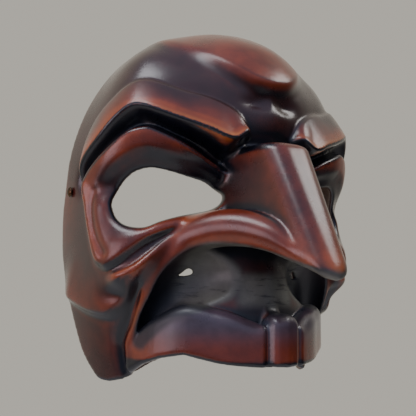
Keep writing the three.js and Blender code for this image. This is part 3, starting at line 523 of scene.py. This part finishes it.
class Tree:
    """a short way to write a material's nodes"""

    def __init__(self, name):
        self.material = bpy.data.materials.new(name)
        self.material.use_nodes = True
        self.nodes, self.links = self.material.node_tree.nodes, self.material.node_tree.links
        self.shader = self.nodes["Principled BSDF"]

    def plug(self, socket, value):
        if isinstance(value, bpy.types.NodeSocket):
            self.links.new(value, socket)
        elif value is not None:
            socket.default_value = value

    def set(self, **sockets):
        for name, value in sockets.items():
            self.plug(self.shader.inputs[name.replace("_", " ").title().replace("Ior", "IOR")], value)

    def attribute(self, name):
        node = self.nodes.new("ShaderNodeAttribute")
        node.attribute_name = name
        return node.outputs["Fac"]

    def place(self):
        return self.nodes.new("ShaderNodeTexCoord").outputs["Object"]

    def stretch(self, vector, scale):
        node = self.nodes.new("ShaderNodeMapping")
        node.inputs["Scale"].default_value = scale
        self.plug(node.inputs["Vector"], vector)
        return node.outputs["Vector"]

    def noise(self, scale, detail=4.0, roughness=0.55, vector=None):
        node = self.nodes.new("ShaderNodeTexNoise")
        self.plug(node.inputs["Vector"], vector or self.place())
        node.inputs["Scale"].default_value = scale
        node.inputs["Detail"].default_value = detail
        node.inputs["Roughness"].default_value = roughness
        return node.outputs["Fac"]

    def cells(self, scale, vector=None):
        node = self.nodes.new("ShaderNodeTexVoronoi")
        node.feature = "DISTANCE_TO_EDGE"
        self.plug(node.inputs["Vector"], vector or self.place())
        node.inputs["Scale"].default_value = scale
        return node.outputs["Distance"]

    def waves(self, scale, direction):
        node = self.nodes.new("ShaderNodeTexWave")
        node.bands_direction = direction
        self.plug(node.inputs["Vector"], self.place())
        node.inputs["Scale"].default_value = scale
        node.inputs["Distortion"].default_value = 0.0
        return node.outputs["Fac"]

    def math(self, operation, a, b=None):
        node = self.nodes.new("ShaderNodeMath")
        node.operation = operation
        self.plug(node.inputs[0], a)
        self.plug(node.inputs[1], b)
        return node.outputs[0]

    def span(self, value, low, high, to_low=0.0, to_high=1.0):
        node = self.nodes.new("ShaderNodeMapRange")
        node.interpolation_type = "SMOOTHSTEP"
        for socket, number in zip(list(node.inputs)[1:5], (low, high, to_low, to_high)):
            socket.default_value = number
        self.plug(node.inputs["Value"], value)
        return node.outputs["Result"]

    def mix(self, amount, a, b, blend="MIX"):
        node = self.nodes.new("ShaderNodeMix")
        node.data_type, node.blend_type = "RGBA", blend
        self.plug(node.inputs["Factor"], amount)
        self.plug(node.inputs["A"], a)
        self.plug(node.inputs["B"], b)
        return node.outputs["Result"]

    def bump(self, height, strength, distance, under=None):
        node = self.nodes.new("ShaderNodeBump")
        node.inputs["Strength"].default_value = strength
        node.inputs["Distance"].default_value = distance
        self.plug(node.inputs["Height"], height)
        self.plug(node.inputs["Normal"], under)
        return node.outputs["Normal"]


# ---------------------------------------------------------------- materials
def leather_material():
    """burnished dark leather: mahogany on the ridges, worn orange on edges, blue-black in the hollows from
    dark dye and painted shade, with a painted sky reflection on the lip and a painted grey reflection in the
    hollows under the nose
    """
    t = Tree("burnished_leather")
    crest, hollow, depth = t.attribute("crest"), t.attribute("hollow"), t.attribute("depth")
    cavern, lip, painted_nostril_reflection = t.attribute("cavern"), t.attribute("lip_sky_reflection"), t.attribute("painted_nostril_reflection")
    place = t.place()
    cloud = t.noise(28, 5, 0.6, place)
    blotch = t.noise(90, 6, 0.65, place)
    grain = t.cells(900, place)
    pores = t.noise(2600, 3, 0.6, place)
    streak = t.noise(1.0, 5, 0.6, t.stretch(place, (420, 420, 60)))

    # the outside: dye and wear, with painted shade and painted reflections laid on it
    warm = t.math("ADD", crest, t.math("MULTIPLY", t.math("SUBTRACT", cloud, 0.5), 0.5))
    base = t.mix(t.span(warm, -0.08, 0.30), PALETTE["deep"], PALETTE["mahogany"])
    base = t.mix(t.span(warm, 0.24, 0.62), base, PALETTE["russet"])
    worn = t.math("ADD", crest, t.math("MULTIPLY", t.math("SUBTRACT", blotch, 0.5), 0.45))
    base = t.mix(t.span(worn, 0.62, 1.1), base, PALETTE["worn"])
    # the hollows go blue-black: partly dark dye worked into them, partly painted shade, its blue a painted
    # sky reflection
    dark = t.math("ADD", hollow, t.math("MULTIPLY", t.math("SUBTRACT", blotch, 0.5), 0.25))
    base = t.mix(t.span(dark, 0.05, 0.42), base, PALETTE["ink_and_shade"])
    # a painted blue sky reflection on the top of the lip
    base = t.mix(t.math("MULTIPLY", lip, 0.8), base, PALETTE["sky_blue_reflection"])
    # the hollows under the nose wings: dark dye and painted shade
    base = t.mix(t.math("MULTIPLY", cavern, 0.9), base, PALETTE["ink_and_shade"])
    # a painted grey reflection, broken into brushed streaks, on the roof of the hollows under the nose wings
    brushed = t.noise(1.0, 6, 0.7, t.stretch(place, (60, 60, 420)))
    patches = t.math("ADD", brushed, t.math("MULTIPLY", cloud, 0.5))
    base = t.mix(t.math("MULTIPLY", painted_nostril_reflection, t.span(patches, 0.54, 0.74)), base, PALETTE["reflected_grey"])
    base = t.mix(t.span(blotch, 0.3, 0.7, 0, 0.35), base, PALETTE["deep"], "MULTIPLY")

    # the bare lining and the cut edge
    flesh = t.mix(streak, PALETTE["flesh_dark"], PALETTE["flesh"])
    inner = t.span(depth, 0.6, 0.9)
    rim = t.math("MULTIPLY", t.span(depth, 0.30, 0.42), t.span(depth, 0.8, 0.66))
    base = t.mix(inner, base, flesh)
    base = t.mix(t.math("MULTIPLY", rim, 0.8), base, PALETTE["edge"])

    # gloss and grain
    rough = t.span(cloud, 0.3, 0.7, 0.25, 0.35)
    rough = t.math("ADD", rough, t.math("MULTIPLY", inner, 0.42))
    rough = t.math("ADD", rough, t.math("MULTIPLY", cavern, 0.22))
    height = t.math("ADD", t.math("MULTIPLY", t.span(grain, 0, 0.12), 0.35), t.math("MULTIPLY", pores, 0.4))
    fine = t.bump(height, 0.10, 0.0003)
    scuffs = t.bump(streak, 0.05, 0.0004, fine)
    t.set(base_color=base, roughness=rough, normal=scuffs, ior=1.5, coat_weight=0.22, coat_roughness=0.20,
          specular_ior_level=0.6)
    return t.material


def worn_leather(name, dark, light, scale=300.0, roughness=0.5):
    """plain vegetable-tanned leather with grain, creases and darkened patches"""
    t = Tree(name)
    place = t.place()
    patch, grain = t.noise(40, 5, 0.6, place), t.cells(scale * 3, place)
    crease = t.noise(1, 4, 0.6, t.stretch(place, (scale, scale * 0.4, scale)))
    base = t.mix(t.span(patch, 0.3, 0.7), dark, light)
    base = t.mix(t.span(grain, 0.0, 0.06, 0.35, 0.0), base, dark)
    height = t.math("ADD", t.span(grain, 0, 0.15), t.math("MULTIPLY", crease, 0.6))
    t.set(base_color=base, roughness=t.span(crease, 0.3, 0.7, roughness - 0.08, roughness + 0.12),
          normal=t.bump(height, 0.25, 0.0003))
    return t.material


def suede_material():
    t = Tree("pad_suede")
    place = t.place()
    nap, patch = t.noise(1900, 4, 0.7, place), t.noise(70, 4, 0.6, place)
    tone = t.math("ADD", t.math("MULTIPLY", nap, 0.55), t.math("MULTIPLY", patch, 0.45))
    base = t.mix(t.span(tone, 0.38, 0.64), PALETTE["suede_dark"], PALETTE["suede"])
    t.set(base_color=base, roughness=0.95, sheen_weight=0.5, sheen_roughness=0.45,
          normal=t.bump(nap, 0.5, 0.0004), specular_ior_level=0.2)
    return t.material


RIBS = 11  # warp ribs across the elastic
PICK = 1.1 * MM  # from one crossing thread to the next


def elastic_material():
    """knitted elastic: warp ribs along the band and fine picks across it"""
    t = Tree("elastic")
    across, along = t.attribute("across"), t.attribute("along")
    ribs = t.math("SINE", t.math("MULTIPLY", across, 2 * math.pi * RIBS))
    picks = t.math("SINE", t.math("MULTIPLY", along, 2 * math.pi / PICK))
    knit = t.math("MULTIPLY", t.span(ribs, -1, 1), t.span(picks, -1, 1, 0.55, 1.0))
    fuzz = t.noise(1500, 3, 0.6)
    light = t.math("MULTIPLY", knit, t.span(fuzz, 0.2, 0.8, 0.6, 1.0))
    base = t.mix(light, PALETTE["elastic_dark"], PALETTE["elastic"])
    t.set(base_color=base, roughness=0.82, sheen_weight=0.35, sheen_roughness=0.4,
          normal=t.bump(knit, 0.7, 0.0005))
    return t.material


def metal_material(name, colour, tarnish, roughness):
    t = Tree(name)
    place = t.place()
    stain, scratch = t.noise(260, 5, 0.65, place), t.noise(1, 3, 0.6, t.stretch(place, (1800, 260, 1800)))
    base = t.mix(t.span(stain, 0.42, 0.66), colour, tarnish)
    dulled = t.span(stain, 0.35, 0.7, roughness, roughness + 0.22)
    rough = t.math("ADD", dulled, t.math("MULTIPLY", scratch, 0.08))
    t.set(base_color=base, metallic=1.0, roughness=rough, normal=t.bump(scratch, 0.12, 0.0001))
    return t.material


def nylon_material():
    t = Tree("black_nylon")
    place = t.place()
    mould, speck = t.noise(700, 3, 0.5, place), t.noise(120, 3, 0.5, place)
    base = t.mix(speck, PALETTE["nylon"], PALETTE["elastic"])
    t.set(base_color=base, roughness=t.span(mould, 0.3, 0.7, 0.34, 0.5), normal=t.bump(mould, 0.18, 0.0002))
    return t.material


def thread_material():
    t = Tree("waxed_thread")
    twist = t.waves(900, "DIAGONAL")
    base = t.mix(twist, PALETTE["thread_dark"], PALETTE["thread"])
    t.set(base_color=base, roughness=0.6, normal=t.bump(twist, 0.5, 0.0002))
    return t.material


PALETTE = {
    "deep": (0.040, 0.010, 0.010, 1), "mahogany": (0.18, 0.026, 0.009, 1), "russet": (0.32, 0.055, 0.012, 1),
    "worn": (0.54, 0.15, 0.032, 1), "edge": (0.06, 0.018, 0.010, 1), "ink_and_shade": (0.004, 0.005, 0.011, 1),
    "sky_blue_reflection": (0.048, 0.054, 0.080, 1), "reflected_grey": (0.16, 0.155, 0.125, 1),
    "flesh": (0.20, 0.125, 0.085, 1), "flesh_dark": (0.060, 0.036, 0.026, 1),
    "hem_dark": (0.020, 0.008, 0.005, 1), "hem": (0.085, 0.032, 0.016, 1),
    "tab_dark": (0.018, 0.007, 0.004, 1), "tab": (0.10, 0.035, 0.014, 1),
    "suede_dark": (0.045, 0.028, 0.020, 1), "suede": (0.125, 0.078, 0.052, 1),
    "elastic_dark": (0.006, 0.006, 0.007, 1), "elastic": (0.035, 0.033, 0.034, 1),
    "nylon": (0.010, 0.010, 0.011, 1), "thread_dark": (0.05, 0.030, 0.018, 1),
    "thread": (0.22, 0.14, 0.085, 1), "brass": (0.11, 0.062, 0.032, 1),
    "brass_dark": (0.035, 0.020, 0.014, 1), "steel": (0.42, 0.42, 0.41, 1),
    "steel_dark": (0.13, 0.12, 0.115, 1),
}
MATERIAL = {
    "burnished_leather": leather_material(),
    "hem_leather": worn_leather("hem_leather", PALETTE["hem_dark"], PALETTE["hem"], 500, 0.55),
    "strap_leather": worn_leather("strap_leather", PALETTE["tab_dark"], PALETTE["tab"], 380, 0.42),
    "steel_wire": metal_material("steel_wire", PALETTE["steel"], PALETTE["steel_dark"], 0.24),
    "antique_brass": metal_material("antique_brass", PALETTE["brass"], PALETTE["brass_dark"], 0.22),
    "pad_suede": suede_material(),
    "elastic": elastic_material(),
    "black_nylon": nylon_material(),
}
THREAD = thread_material()


def dress(obj, slot, body, *nodes):
    """gives a piece its material, its slot, the body it rides on and the CAD nodes it stands for"""
    obj.data.materials.clear()
    obj.data.materials.append(MATERIAL[slot])
    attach(obj, body)
    if nodes:
        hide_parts(*nodes)
    return obj


# ---------------------------------------------------------------- the leather
CELL = 0.9
LOW, HIGH = (0.0, -62.0, -92.0), (88.0, 72.0, 108.0)
REACHES = ((2.0, 0.3), (6.0, 0.35), (16.0, 0.35))  # how far crests and hollows are felt for, and its share


def feel(points, normals):
    """how far each point stands on a crest and how far it lies in a hollow"""
    crest, hollow = 0, 0
    for reach, share in REACHES:
        crest = crest + share * (1 + outside(points - reach * normals) / reach)
        hollow = hollow + share * (1 - outside(points + reach * normals) / reach)
    return crest, hollow


def wear_and_painted_light(points, normals):
    """the values over the leather that its material reads: crests and hollows, painted shade on faces turned
    down and under the lip, and where painted reflections lie
    """
    x, z = np.abs(points[:, 0]), points[:, 2]
    depth = -outside(points) / THICK
    front = ease(0.4, 0.2, depth)
    crest, hollow = feel(points, normals)
    s, t, r = unroll(points)
    folded = np.abs(points) * (1, 0, 0) + points * (0, 1, 1)
    on_face = ease(5, 1, r - sample(RELIEF, s, t))
    on_wing = ease(4, 0.5, to_sweep(WING_LINE, folded))
    on_lip = ease(1.5, 0.2, to_lip(LIP_LINE, folded))
    crest = crest + on_face * np.clip(sample(RAISED, s, t), -0.35, 0.35)
    crest = crest + 0.22 * on_face * sample(DOME, s, t)
    # painted shade: faces turned downward are darkened through the hollow value, except on the wing, whose
    # downward side is made warmer through the crest value instead
    under = ease(-0.15, -0.75, normals[:, 2]) * ease(0.3, 0.7, 1 - depth)
    hollow = hollow + 0.55 * under * (1 - on_wing)
    crest = crest + 0.3 * under * on_wing
    # painted shade on the underside of the lip
    hollow = hollow + 0.5 * on_lip * ease(-73.5, -77.5, z)
    # the hollows under the nose wings and beside the nose's column, coloured blue-black: partly dark dye,
    # partly painted shade
    column = ease(20, 13, x) * ease(-57, -52, z) * ease(-31, -37, z)
    cavern = np.maximum(ease(3.5, 0.5, to_sweep(HOLLOW_LINE, folded)), column) * front
    # where the painted grey reflection lies, on the upper part of the hollows under the nose wings
    painted_nostril_reflection = cavern * ease(-52, -46, z) * ease(42, 34, x)
    # painted sky reflection on the upper face of the lip
    lip_sky_reflection = on_lip * ease(-71, -58, z) * front
    return {"depth": depth, "crest": crest, "hollow": hollow, "cavern": cavern, "painted_nostril_reflection": painted_nostril_reflection,
            "lip_sky_reflection": lip_sky_reflection}


def leather_shell():
    vertices, faces = sculpt(leather, CELL, LOW, HIGH)
    shell = mesh_object("moulded_leather", vertices, faces)
    for name, values in wear_and_painted_light(vertices, get_normals(shell)).items():
        point_value(shell, name, values)
    return dress(shell, "burnished_leather", "mask", "leather_shell")


# ---------------------------------------------------------------- soft and turned pieces from CAD solids
def copy_node(node, name):
    """a new object with a copy of a CAD node's mesh, welded"""
    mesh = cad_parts[node].data.copy()
    mesh.name = name
    mend(mesh, weld=0.02)
    return add_object(name, mesh)


def apply_modifiers(obj):
    """makes what an object's modifiers show its own mesh"""
    ready = obj.evaluated_get(bpy.context.evaluated_depsgraph_get())
    mesh = bpy.data.meshes.new_from_object(ready)
    obj.modifiers.clear()
    obj.data = mesh
    shade(mesh)


def modify(obj, kind, **settings):
    modifier = obj.modifiers.new(kind.title(), kind)
    for name, value in settings.items():
        setattr(modifier, name, value)
    return modifier


def slope_of(points, step=0.6):
    """the outward direction of the face's form"""
    eye = np.eye(3) * step
    grow = np.stack([outside(points + e) - outside(points - e) for e in eye], -1)
    return grow / np.maximum(np.linalg.norm(grow, axis=1, keepdims=True), 1e-6)


SKIM = 0.06  # the gap left between a piece and the lining


def seat(obj, lift, reach):
    """moves a piece out onto the lining: the side that faces the leather is laid against it"""
    obj.data.update()
    points = get_points(obj)
    out = slope_of(points)
    depth = -outside(points) - THICK
    facing = (get_normals(obj) * out).sum(1)
    laid = ease(0.05, 0.45, facing) * ease(reach + 0.8, reach, depth)
    wanted = np.maximum(depth - lift, SKIM) * (1 - laid) + SKIM * laid
    set_points(obj, points + out * (depth - wanted)[:, None])


def remesh(obj, voxel, smooth=4):
    modify(obj, "REMESH", mode="VOXEL", voxel_size=voxel * MM)
    modify(obj, "SMOOTH", factor=0.5, iterations=smooth)
    apply_modifiers(obj)


# ---------------------------------------------------------------- wire and hem
def rim_hem():
    hem = copy_node("rim_hem", "wired_hem")
    remesh(hem, 0.7, 5)
    seat(hem, 1.3, 2.2)
    modify(hem, "SMOOTH", factor=0.5, iterations=2)
    apply_modifiers(hem)
    return dress(hem, "hem_leather", "mask", "rim_hem")


def rim_wire():
    wire = copy_node("rim_wire", "hem_wire")
    modify(wire, "SUBSURF", levels=1, render_levels=1)
    apply_modifiers(wire)
    points = get_points(wire)
    set_points(wire, points + slope_of(points) * 1.2)
    return dress(wire, "steel_wire", "mask", "rim_wire")


# ---------------------------------------------------------------- suede pads
SWELL = 2.0  # the most that a point of a pad may move
PRESSURE = 4.0
FRAMES = 16
PADS = (("forehead_pad", "forehead_cushion"), ("bridge_pad", "bridge_cushion"),
        ("cheek_pad_left", "cheek_cushion_left"), ("cheek_pad_right", "cheek_cushion_right"))


def inflate(obj):
    """cloth under pressure, with the distance that a point may move capped"""
    start = get_points(obj)
    cloth = modify(obj, "CLOTH")
    cloth.settings.use_pressure = True
    cloth.settings.uniform_pressure_force = PRESSURE
    cloth.settings.effector_weights.gravity = 0
    for number in range(1, FRAMES + 1):
        bpy.context.scene.frame_set(number)
    apply_modifiers(obj)
    bpy.context.scene.frame_set(1)
    moved = get_points(obj) - start
    length = np.linalg.norm(moved, axis=1, keepdims=True)
    set_points(obj, start + moved * np.minimum(1, SWELL / np.maximum(length, 1e-6)))


def foam_pad(node, name):
    pad = copy_node(node, name)
    points = get_points(pad)
    middle = (points.max(0) + points.min(0)) / 2
    set_points(pad, middle + (points - middle) * 0.95)
    remesh(pad, 2.4, 6)
    inflate(pad)
    modify(pad, "SUBSURF", levels=2, render_levels=2)
    apply_modifiers(pad)
    seat(pad, 0, 4.5)
    modify(pad, "SMOOTH", factor=0.5, iterations=3)
    apply_modifiers(pad)
    dress(pad, "pad_suede", "mask", node)
    return pad


# ---------------------------------------------------------------- rivets, washers and collars
PIVOT_Y, PIVOT_Z = np.mean(corners("rivet_left"), 0)[1:]
# sections of (radius, x)
RIVET = [(0, 64.3), (1.1, 64.35), (1.6, 64.6), (1.9, 65.1), (1.9, 65.55), (1.2, 65.6), (1.2, 80.2),
         (2.3, 80.2), (2.58, 80.32), (2.6, 80.55), (2.45, 80.8), (1.95, 81.25), (1.2, 81.55), (0.5, 81.68),
         (0, 81.7)]
COLLAR = [(1.3, 69.6), (3.5, 69.6), (3.85, 69.9), (3.9, 70.9), (3.85, 71.9), (3.5, 72.2), (1.3, 72.2),
          (1.3, 69.6)]
BURR = [(1.3, 65.9), (3.1, 65.9), (3.3, 66.1), (3.3, 66.6), (3.1, 66.8), (1.3, 66.8), (1.3, 65.9)]
TURNS = 48


def turned(name, profile, side, slot, body, node):
    """a section turned about a rivet's axis; side is 1 for the wearer's left"""
    rings = []
    for i in range(TURNS):
        c, s = math.cos(2 * math.pi * i / TURNS), math.sin(2 * math.pi * i / TURNS)
        rings.append([(side * x, PIVOT_Y + r * c, PIVOT_Z + r * s) for r, x in profile])
    count = len(profile)
    faces = []
    for i in range(TURNS):
        a, b = i * count, (i + 1) % TURNS * count
        faces += [(a + k, b + k, b + k + 1, a + k + 1) for k in range(count - 1)]
    obj = mesh_object(name, np.array(rings).reshape(-1, 3), faces)
    mend(obj.data, weld=0.005, sliver=0.001, outward=True)
    return dress(obj, slot, body, node)


# ---------------------------------------------------------------- strap, tabs, ring and keeper
STRAP_THICK, STRAP_FLAT, STRAP_TAIL = 1.5, 34.0, -4.0
BAND_LOW, BAND_HIGH = corners("head_strap")
STRAP_WIDTH = BAND_HIGH[1] - BAND_LOW[1]
STRAP_LOW = BAND_LOW[2] + STRAP_THICK / 2
RING_LOW, RING_HIGH = corners("strap_ring")
RING_WIRE = (RING_HIGH[0] - RING_LOW[0]) / 2
BAR_X, BAR_Z = -(RING_LOW[0] + RING_HIGH[0]) / 2, RING_LOW[2] + RING_WIRE
TAB_INSIDE, TAB_OUTSIDE = (corner[0] for corner in corners("strap_tab_left"))
GAP = TAB_INSIDE - BAND_HIGH[0]


def bezier(a, b, c, d, steps=26):
    u = np.linspace(0, 1, steps)[:, None]
    a, b, c, d = (np.array(p, float) for p in (a, b, c, d))
    return (1 - u) ** 3 * a + 3 * u * (1 - u) ** 2 * b + 3 * u * u * (1 - u) * c + u**3 * d


def strap_line():
    """the middle of the elastic in X and Z: down from the left tab, along, through the ring and back"""
    right = TAB_INSIDE - GAP - STRAP_THICK / 2
    wrap = RING_WIRE + GAP + STRAP_THICK / 2
    bar, low, flat = BAR_Z, STRAP_LOW, STRAP_FLAT
    inner = low + STRAP_THICK + GAP
    turn = np.linspace(math.pi, 0, 20)
    over = np.stack([-BAR_X + wrap * np.cos(turn), bar + wrap * np.sin(turn)], -1)
    parts = [np.linspace((right, PIVOT_Z - 13), (right, PIVOT_Z - 30), 12),
             bezier((right, PIVOT_Z - 30), (right, low + 10), (flat + 20, low), (flat, low)),
             np.linspace((flat, low), (-flat, low), 30),
             bezier((-flat, low), (-flat - 24, low), (-BAR_X - wrap, low + 13), (-BAR_X - wrap, bar)), over,
             bezier((-BAR_X + wrap, bar), (-BAR_X + wrap, low + 15), (-flat - 23, inner), (-flat, inner)),
             np.linspace((-flat, inner), (STRAP_TAIL, inner), 16)]
    line = np.concatenate(parts)
    keep = np.concatenate([[True], np.linalg.norm(np.diff(line, axis=0), axis=1) > 0.05])
    return line[keep]


def band_section():
    """(across, out) round the strap, with a slightly ribbed top and bottom and rounded edges"""
    across = np.linspace(-0.97, 0.97, 56)
    ribs = 1 + 0.10 * np.cos(across * math.pi * RIBS)
    rounded = ease(1.02, 0.9, np.abs(across)) ** 0.5
    top = np.stack([across * STRAP_WIDTH / 2, STRAP_THICK / 2 * 0.9 * ribs * rounded], -1)
    return np.concatenate([top, top[::-1] * (1, -1)])


def elastic_strap():
    line, section = strap_line(), band_section()
    ahead = np.gradient(line, axis=0)
    ahead /= np.linalg.norm(ahead, axis=1, keepdims=True)
    out = np.stack([-ahead[:, 1], ahead[:, 0]], -1)
    run = np.concatenate([[0], np.cumsum(np.linalg.norm(np.diff(line, axis=0), axis=1))])
    n, m = len(line), len(section)
    points = np.zeros((n, m, 3))
    points[..., 0] = line[:, None, 0] + out[:, None, 0] * section[None, :, 1]
    points[..., 1] = PIVOT_Y + section[None, :, 0]
    points[..., 2] = line[:, None, 1] + out[:, None, 1] * section[None, :, 1]
    faces = [(i * m + j, i * m + (j + 1) % m, (i + 1) * m + (j + 1) % m, (i + 1) * m + j)
             for i in range(n - 1) for j in range(m)]
    for start in (0, (n - 1) * m):
        faces += [(start + j, start + j + 1, start + m - 2 - j, start + m - 1 - j) for j in range(m // 2 - 1)]
    strap = mesh_object("elastic_strap", points.reshape(-1, 3), faces)
    point_value(strap, "across", np.tile(section[:, 0] / STRAP_WIDTH, n))
    point_value(strap, "along", np.repeat(run, m) * MM)
    mend(strap.data, outward=True)
    return dress(strap, "elastic", "strap", "head_strap")


def bevelled(node, name, width, slot, body):
    """a CAD solid with its edges rounded over"""
    obj = copy_node(node, name)
    modify(obj, "BEVEL", width=width * MM, segments=3, limit_method="ANGLE", angle_limit=math.radians(35),
           harden_normals=False)
    modify(obj, "WEIGHTED_NORMAL", keep_sharp=True)
    apply_modifiers(obj)
    return dress(obj, slot, body, node)


def strap_ring():
    ring = copy_node("strap_ring", "wire_ring")
    modify(ring, "SUBSURF", levels=2, render_levels=2)
    apply_modifiers(ring)
    return dress(ring, "steel_wire", "strap", "strap_ring")


STITCH_LENGTH, STITCH_RADIUS, PROUD = 2.0, 0.32, 0.08
EDGE_PITCH, ROW_PITCH = 2.9, 2.8
ACROSS = [PIVOT_Y - 5.6 + ROW_PITCH * k for k in range(5)]


def stitches(name, places, along, out):
    """short rounded threads lying along a direction, each a little proud of the surface"""
    shape = bmesh.new()
    along, out = Vector(along), Vector(out)
    turn = Matrix((out.cross(along), out, along)).transposed().to_4x4()
    size = Matrix.Diagonal((STITCH_RADIUS * MM, STITCH_RADIUS * 0.8 * MM, STITCH_LENGTH / 2 * MM, 1))
    for place in places:
        where = Matrix.Translation(Vector(place) * MM) @ turn
        bmesh.ops.create_uvsphere(shape, u_segments=10, v_segments=8, radius=1, matrix=where @ size)
    mesh = bpy.data.meshes.new(name)
    shape.to_mesh(mesh)
    shape.free()
    shade(mesh)
    obj = add_object(name, mesh)
    mesh.materials.append(THREAD)
    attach(obj, "strap")
    return obj


def tab_stitches(side, name):
    """rows down both edges of a tab, inside and out"""
    rows = []
    for x in (TAB_INSIDE - PROUD, TAB_OUTSIDE + PROUD):
        for dy in (-5.2, 5.2):
            rows += [(side * x, PIVOT_Y + dy, PIVOT_Z - 18.6 + EDGE_PITCH * k) for k in range(8)]
    return stitches(name, rows, (0, 0, 1), (1, 0, 0))


def strap_tack():
    """two rows across the elastic where it is sewn to the left tab"""
    x = TAB_INSIDE - GAP - STRAP_THICK - 0.05
    rows = [(x, y, z) for y in ACROSS for z in (PIVOT_Z - 15, PIVOT_Z - 18)]
    return stitches("strap_tack", rows, (0, 1, 0), (1, 0, 0))


def tail_hem():
    """a row across the elastic's loose end"""
    z = STRAP_LOW + STRAP_THICK * 1.5 + GAP
    rows = [(STRAP_TAIL - 3, y, z) for y in ACROSS]
    return stitches("tail_hem", rows, (0, 1, 0), (0, 0, 1))


# ---------------------------------------------------------------- camera, light and floor
AZIMUTH, ELEVATION, ROLL = math.radians(-33), math.radians(-6.6), math.radians(0.6)
TARGET, DISTANCE, LENS, SENSOR = Vector((6, 58, 6)), 430.0, 64.04, 36.0


def direction(azimuth, elevation):
    return Vector((math.sin(azimuth) * math.cos(elevation), -math.cos(azimuth) * math.cos(elevation),
                   math.sin(elevation)))


def make_camera():
    back = direction(AZIMUTH, ELEVATION)
    level = Vector((math.cos(AZIMUTH), math.sin(AZIMUTH), 0))
    upright = back.cross(level)
    right = math.cos(ROLL) * level + math.sin(ROLL) * upright
    up = math.cos(ROLL) * upright - math.sin(ROLL) * level
    camera = add_object("camera", bpy.data.cameras.new("camera"))
    camera.data.lens, camera.data.sensor_width, camera.data.clip_start = LENS, SENSOR, 0.01
    place = Matrix((right, up, back)).transposed().to_4x4()
    place.translation = (TARGET + DISTANCE * back) * MM
    camera.matrix_world = place
    bpy.context.scene.camera = camera


# name, the direction it stands in, its distance and sides in metres, its power and its colour
SOFTBOXES = (("key", (0.65, -0.34, 0.68), 0.9, (0.45, 0.22), 2.0, (1.0, 0.97, 0.94)),
             ("top_left", (-0.53, -0.15, 0.83), 0.9, (0.50, 0.35), 4, (0.94, 0.96, 1.0)),
             ("left", (-1.0, -0.15, 0.05), 1.1, (0.6, 0.6), 3.2, (1.0, 0.80, 0.90)))
ROOM = {"dark": (0.05, 0.045, 0.05, 1), "warm": (0.70, 0.66, 0.57, 1), "cool": (0.44, 0.50, 0.72, 1),
        "backdrop": (0.50, 0.475, 0.42, 1)}


def softbox(name, towards, distance, sides, power, colour):
    data = bpy.data.lights.new(name, "AREA")
    data.shape, data.size, data.size_y, data.energy, data.color = "RECTANGLE", *sides, power, colour
    light = add_object(name, data)
    towards = Vector(towards).normalized()
    light.location = towards * distance
    light.rotation_euler = towards.to_track_quat("Z", "Y").to_euler()


def blend(tree, amount, under, over):
    """colour under with colour over laid on it by an amount; each is a socket or a plain colour"""
    mix = tree.nodes.new("ShaderNodeMix")
    mix.data_type = "RGBA"
    tree.links.new(amount, mix.inputs["Factor"])
    for socket, value in (("A", under), ("B", over)):
        if isinstance(value, bpy.types.NodeSocket):
            tree.links.new(value, mix.inputs[socket])
        else:
            mix.inputs[socket].default_value = value
    return mix.outputs["Result"]


def glow(tree, place, vector, low, high, colour, under):
    """a soft patch of colour on the side of the room that a vector points to"""
    dot = tree.nodes.new("ShaderNodeVectorMath")
    dot.operation = "DOT_PRODUCT"
    dot.inputs[1].default_value = Vector(vector).normalized()
    tree.links.new(place, dot.inputs[0])
    span = tree.nodes.new("ShaderNodeMapRange")
    span.interpolation_type = "SMOOTHSTEP"
    span.inputs["From Min"].default_value, span.inputs["From Max"].default_value = low, high
    tree.links.new(dot.outputs["Value"], span.inputs["Value"])
    return blend(tree, span.outputs["Result"], under, colour)


def make_light():
    world = bpy.data.worlds.new("studio")
    bpy.context.scene.world = world
    world.use_nodes = True
    tree = world.node_tree
    place = tree.nodes.new("ShaderNodeTexCoord").outputs["Generated"]
    seen = tree.nodes.new("ShaderNodeLightPath").outputs["Is Camera Ray"]
    room = glow(tree, place, (0, 0.55, 0.15), -0.35, 0.75, ROOM["warm"], ROOM["dark"])
    room = glow(tree, place, (-0.35, -0.6, 0.75), 0.2, 0.95, ROOM["cool"], room)
    colour = blend(tree, seen, room, ROOM["backdrop"])
    tree.links.new(colour, tree.nodes["Background"].inputs["Color"])
    for box in SOFTBOXES:
        softbox(*box)


FLOOR_RADIUS, FLOOR_Z, FLOOR_SIDES = 420.0, -300.0, 96


def make_floor():
    material = Tree("pale_floor")
    weave = material.noise(60, 4, 0.6)
    tone = material.mix(weave, (0.60, 0.58, 0.55, 1), (0.68, 0.66, 0.63, 1))
    material.set(base_color=tone, roughness=0.9)
    angles = [2 * math.pi * i / FLOOR_SIDES for i in range(FLOOR_SIDES)]
    rim = [(FLOOR_RADIUS * math.cos(a), FLOOR_RADIUS * math.sin(a), FLOOR_Z) for a in angles]
    floor = mesh_object("floor", rim, [list(range(FLOOR_SIDES))], False)
    floor.data.materials.append(material.material)


# ---------------------------------------------------------------- assembly
make_camera()
make_light()
make_floor()
leather_shell()
rim_hem()
rim_wire()
for node, name in PADS:
    foam_pad(node, name)
for word, side in (("left", 1), ("right", -1)):
    turned("copper_rivet_" + word, RIVET, side, "antique_brass", "mask", "rivet_" + word)
    turned("rivet_washer_" + word, BURR, side, "antique_brass", "mask", "burr_" + word)
    turned("leather_collar_" + word, COLLAR, side, "strap_leather", "mask", "spacer_" + word)
    bevelled("strap_tab_" + word, "leather_tab_" + word, 0.45, "strap_leather", "strap")
    tab_stitches(side, "tab_stitches_" + word)
strap_ring()
elastic_strap()
bevelled("strap_slider", "strap_keeper", 0.4, "black_nylon", "slider")
strap_tack()
tail_hem()
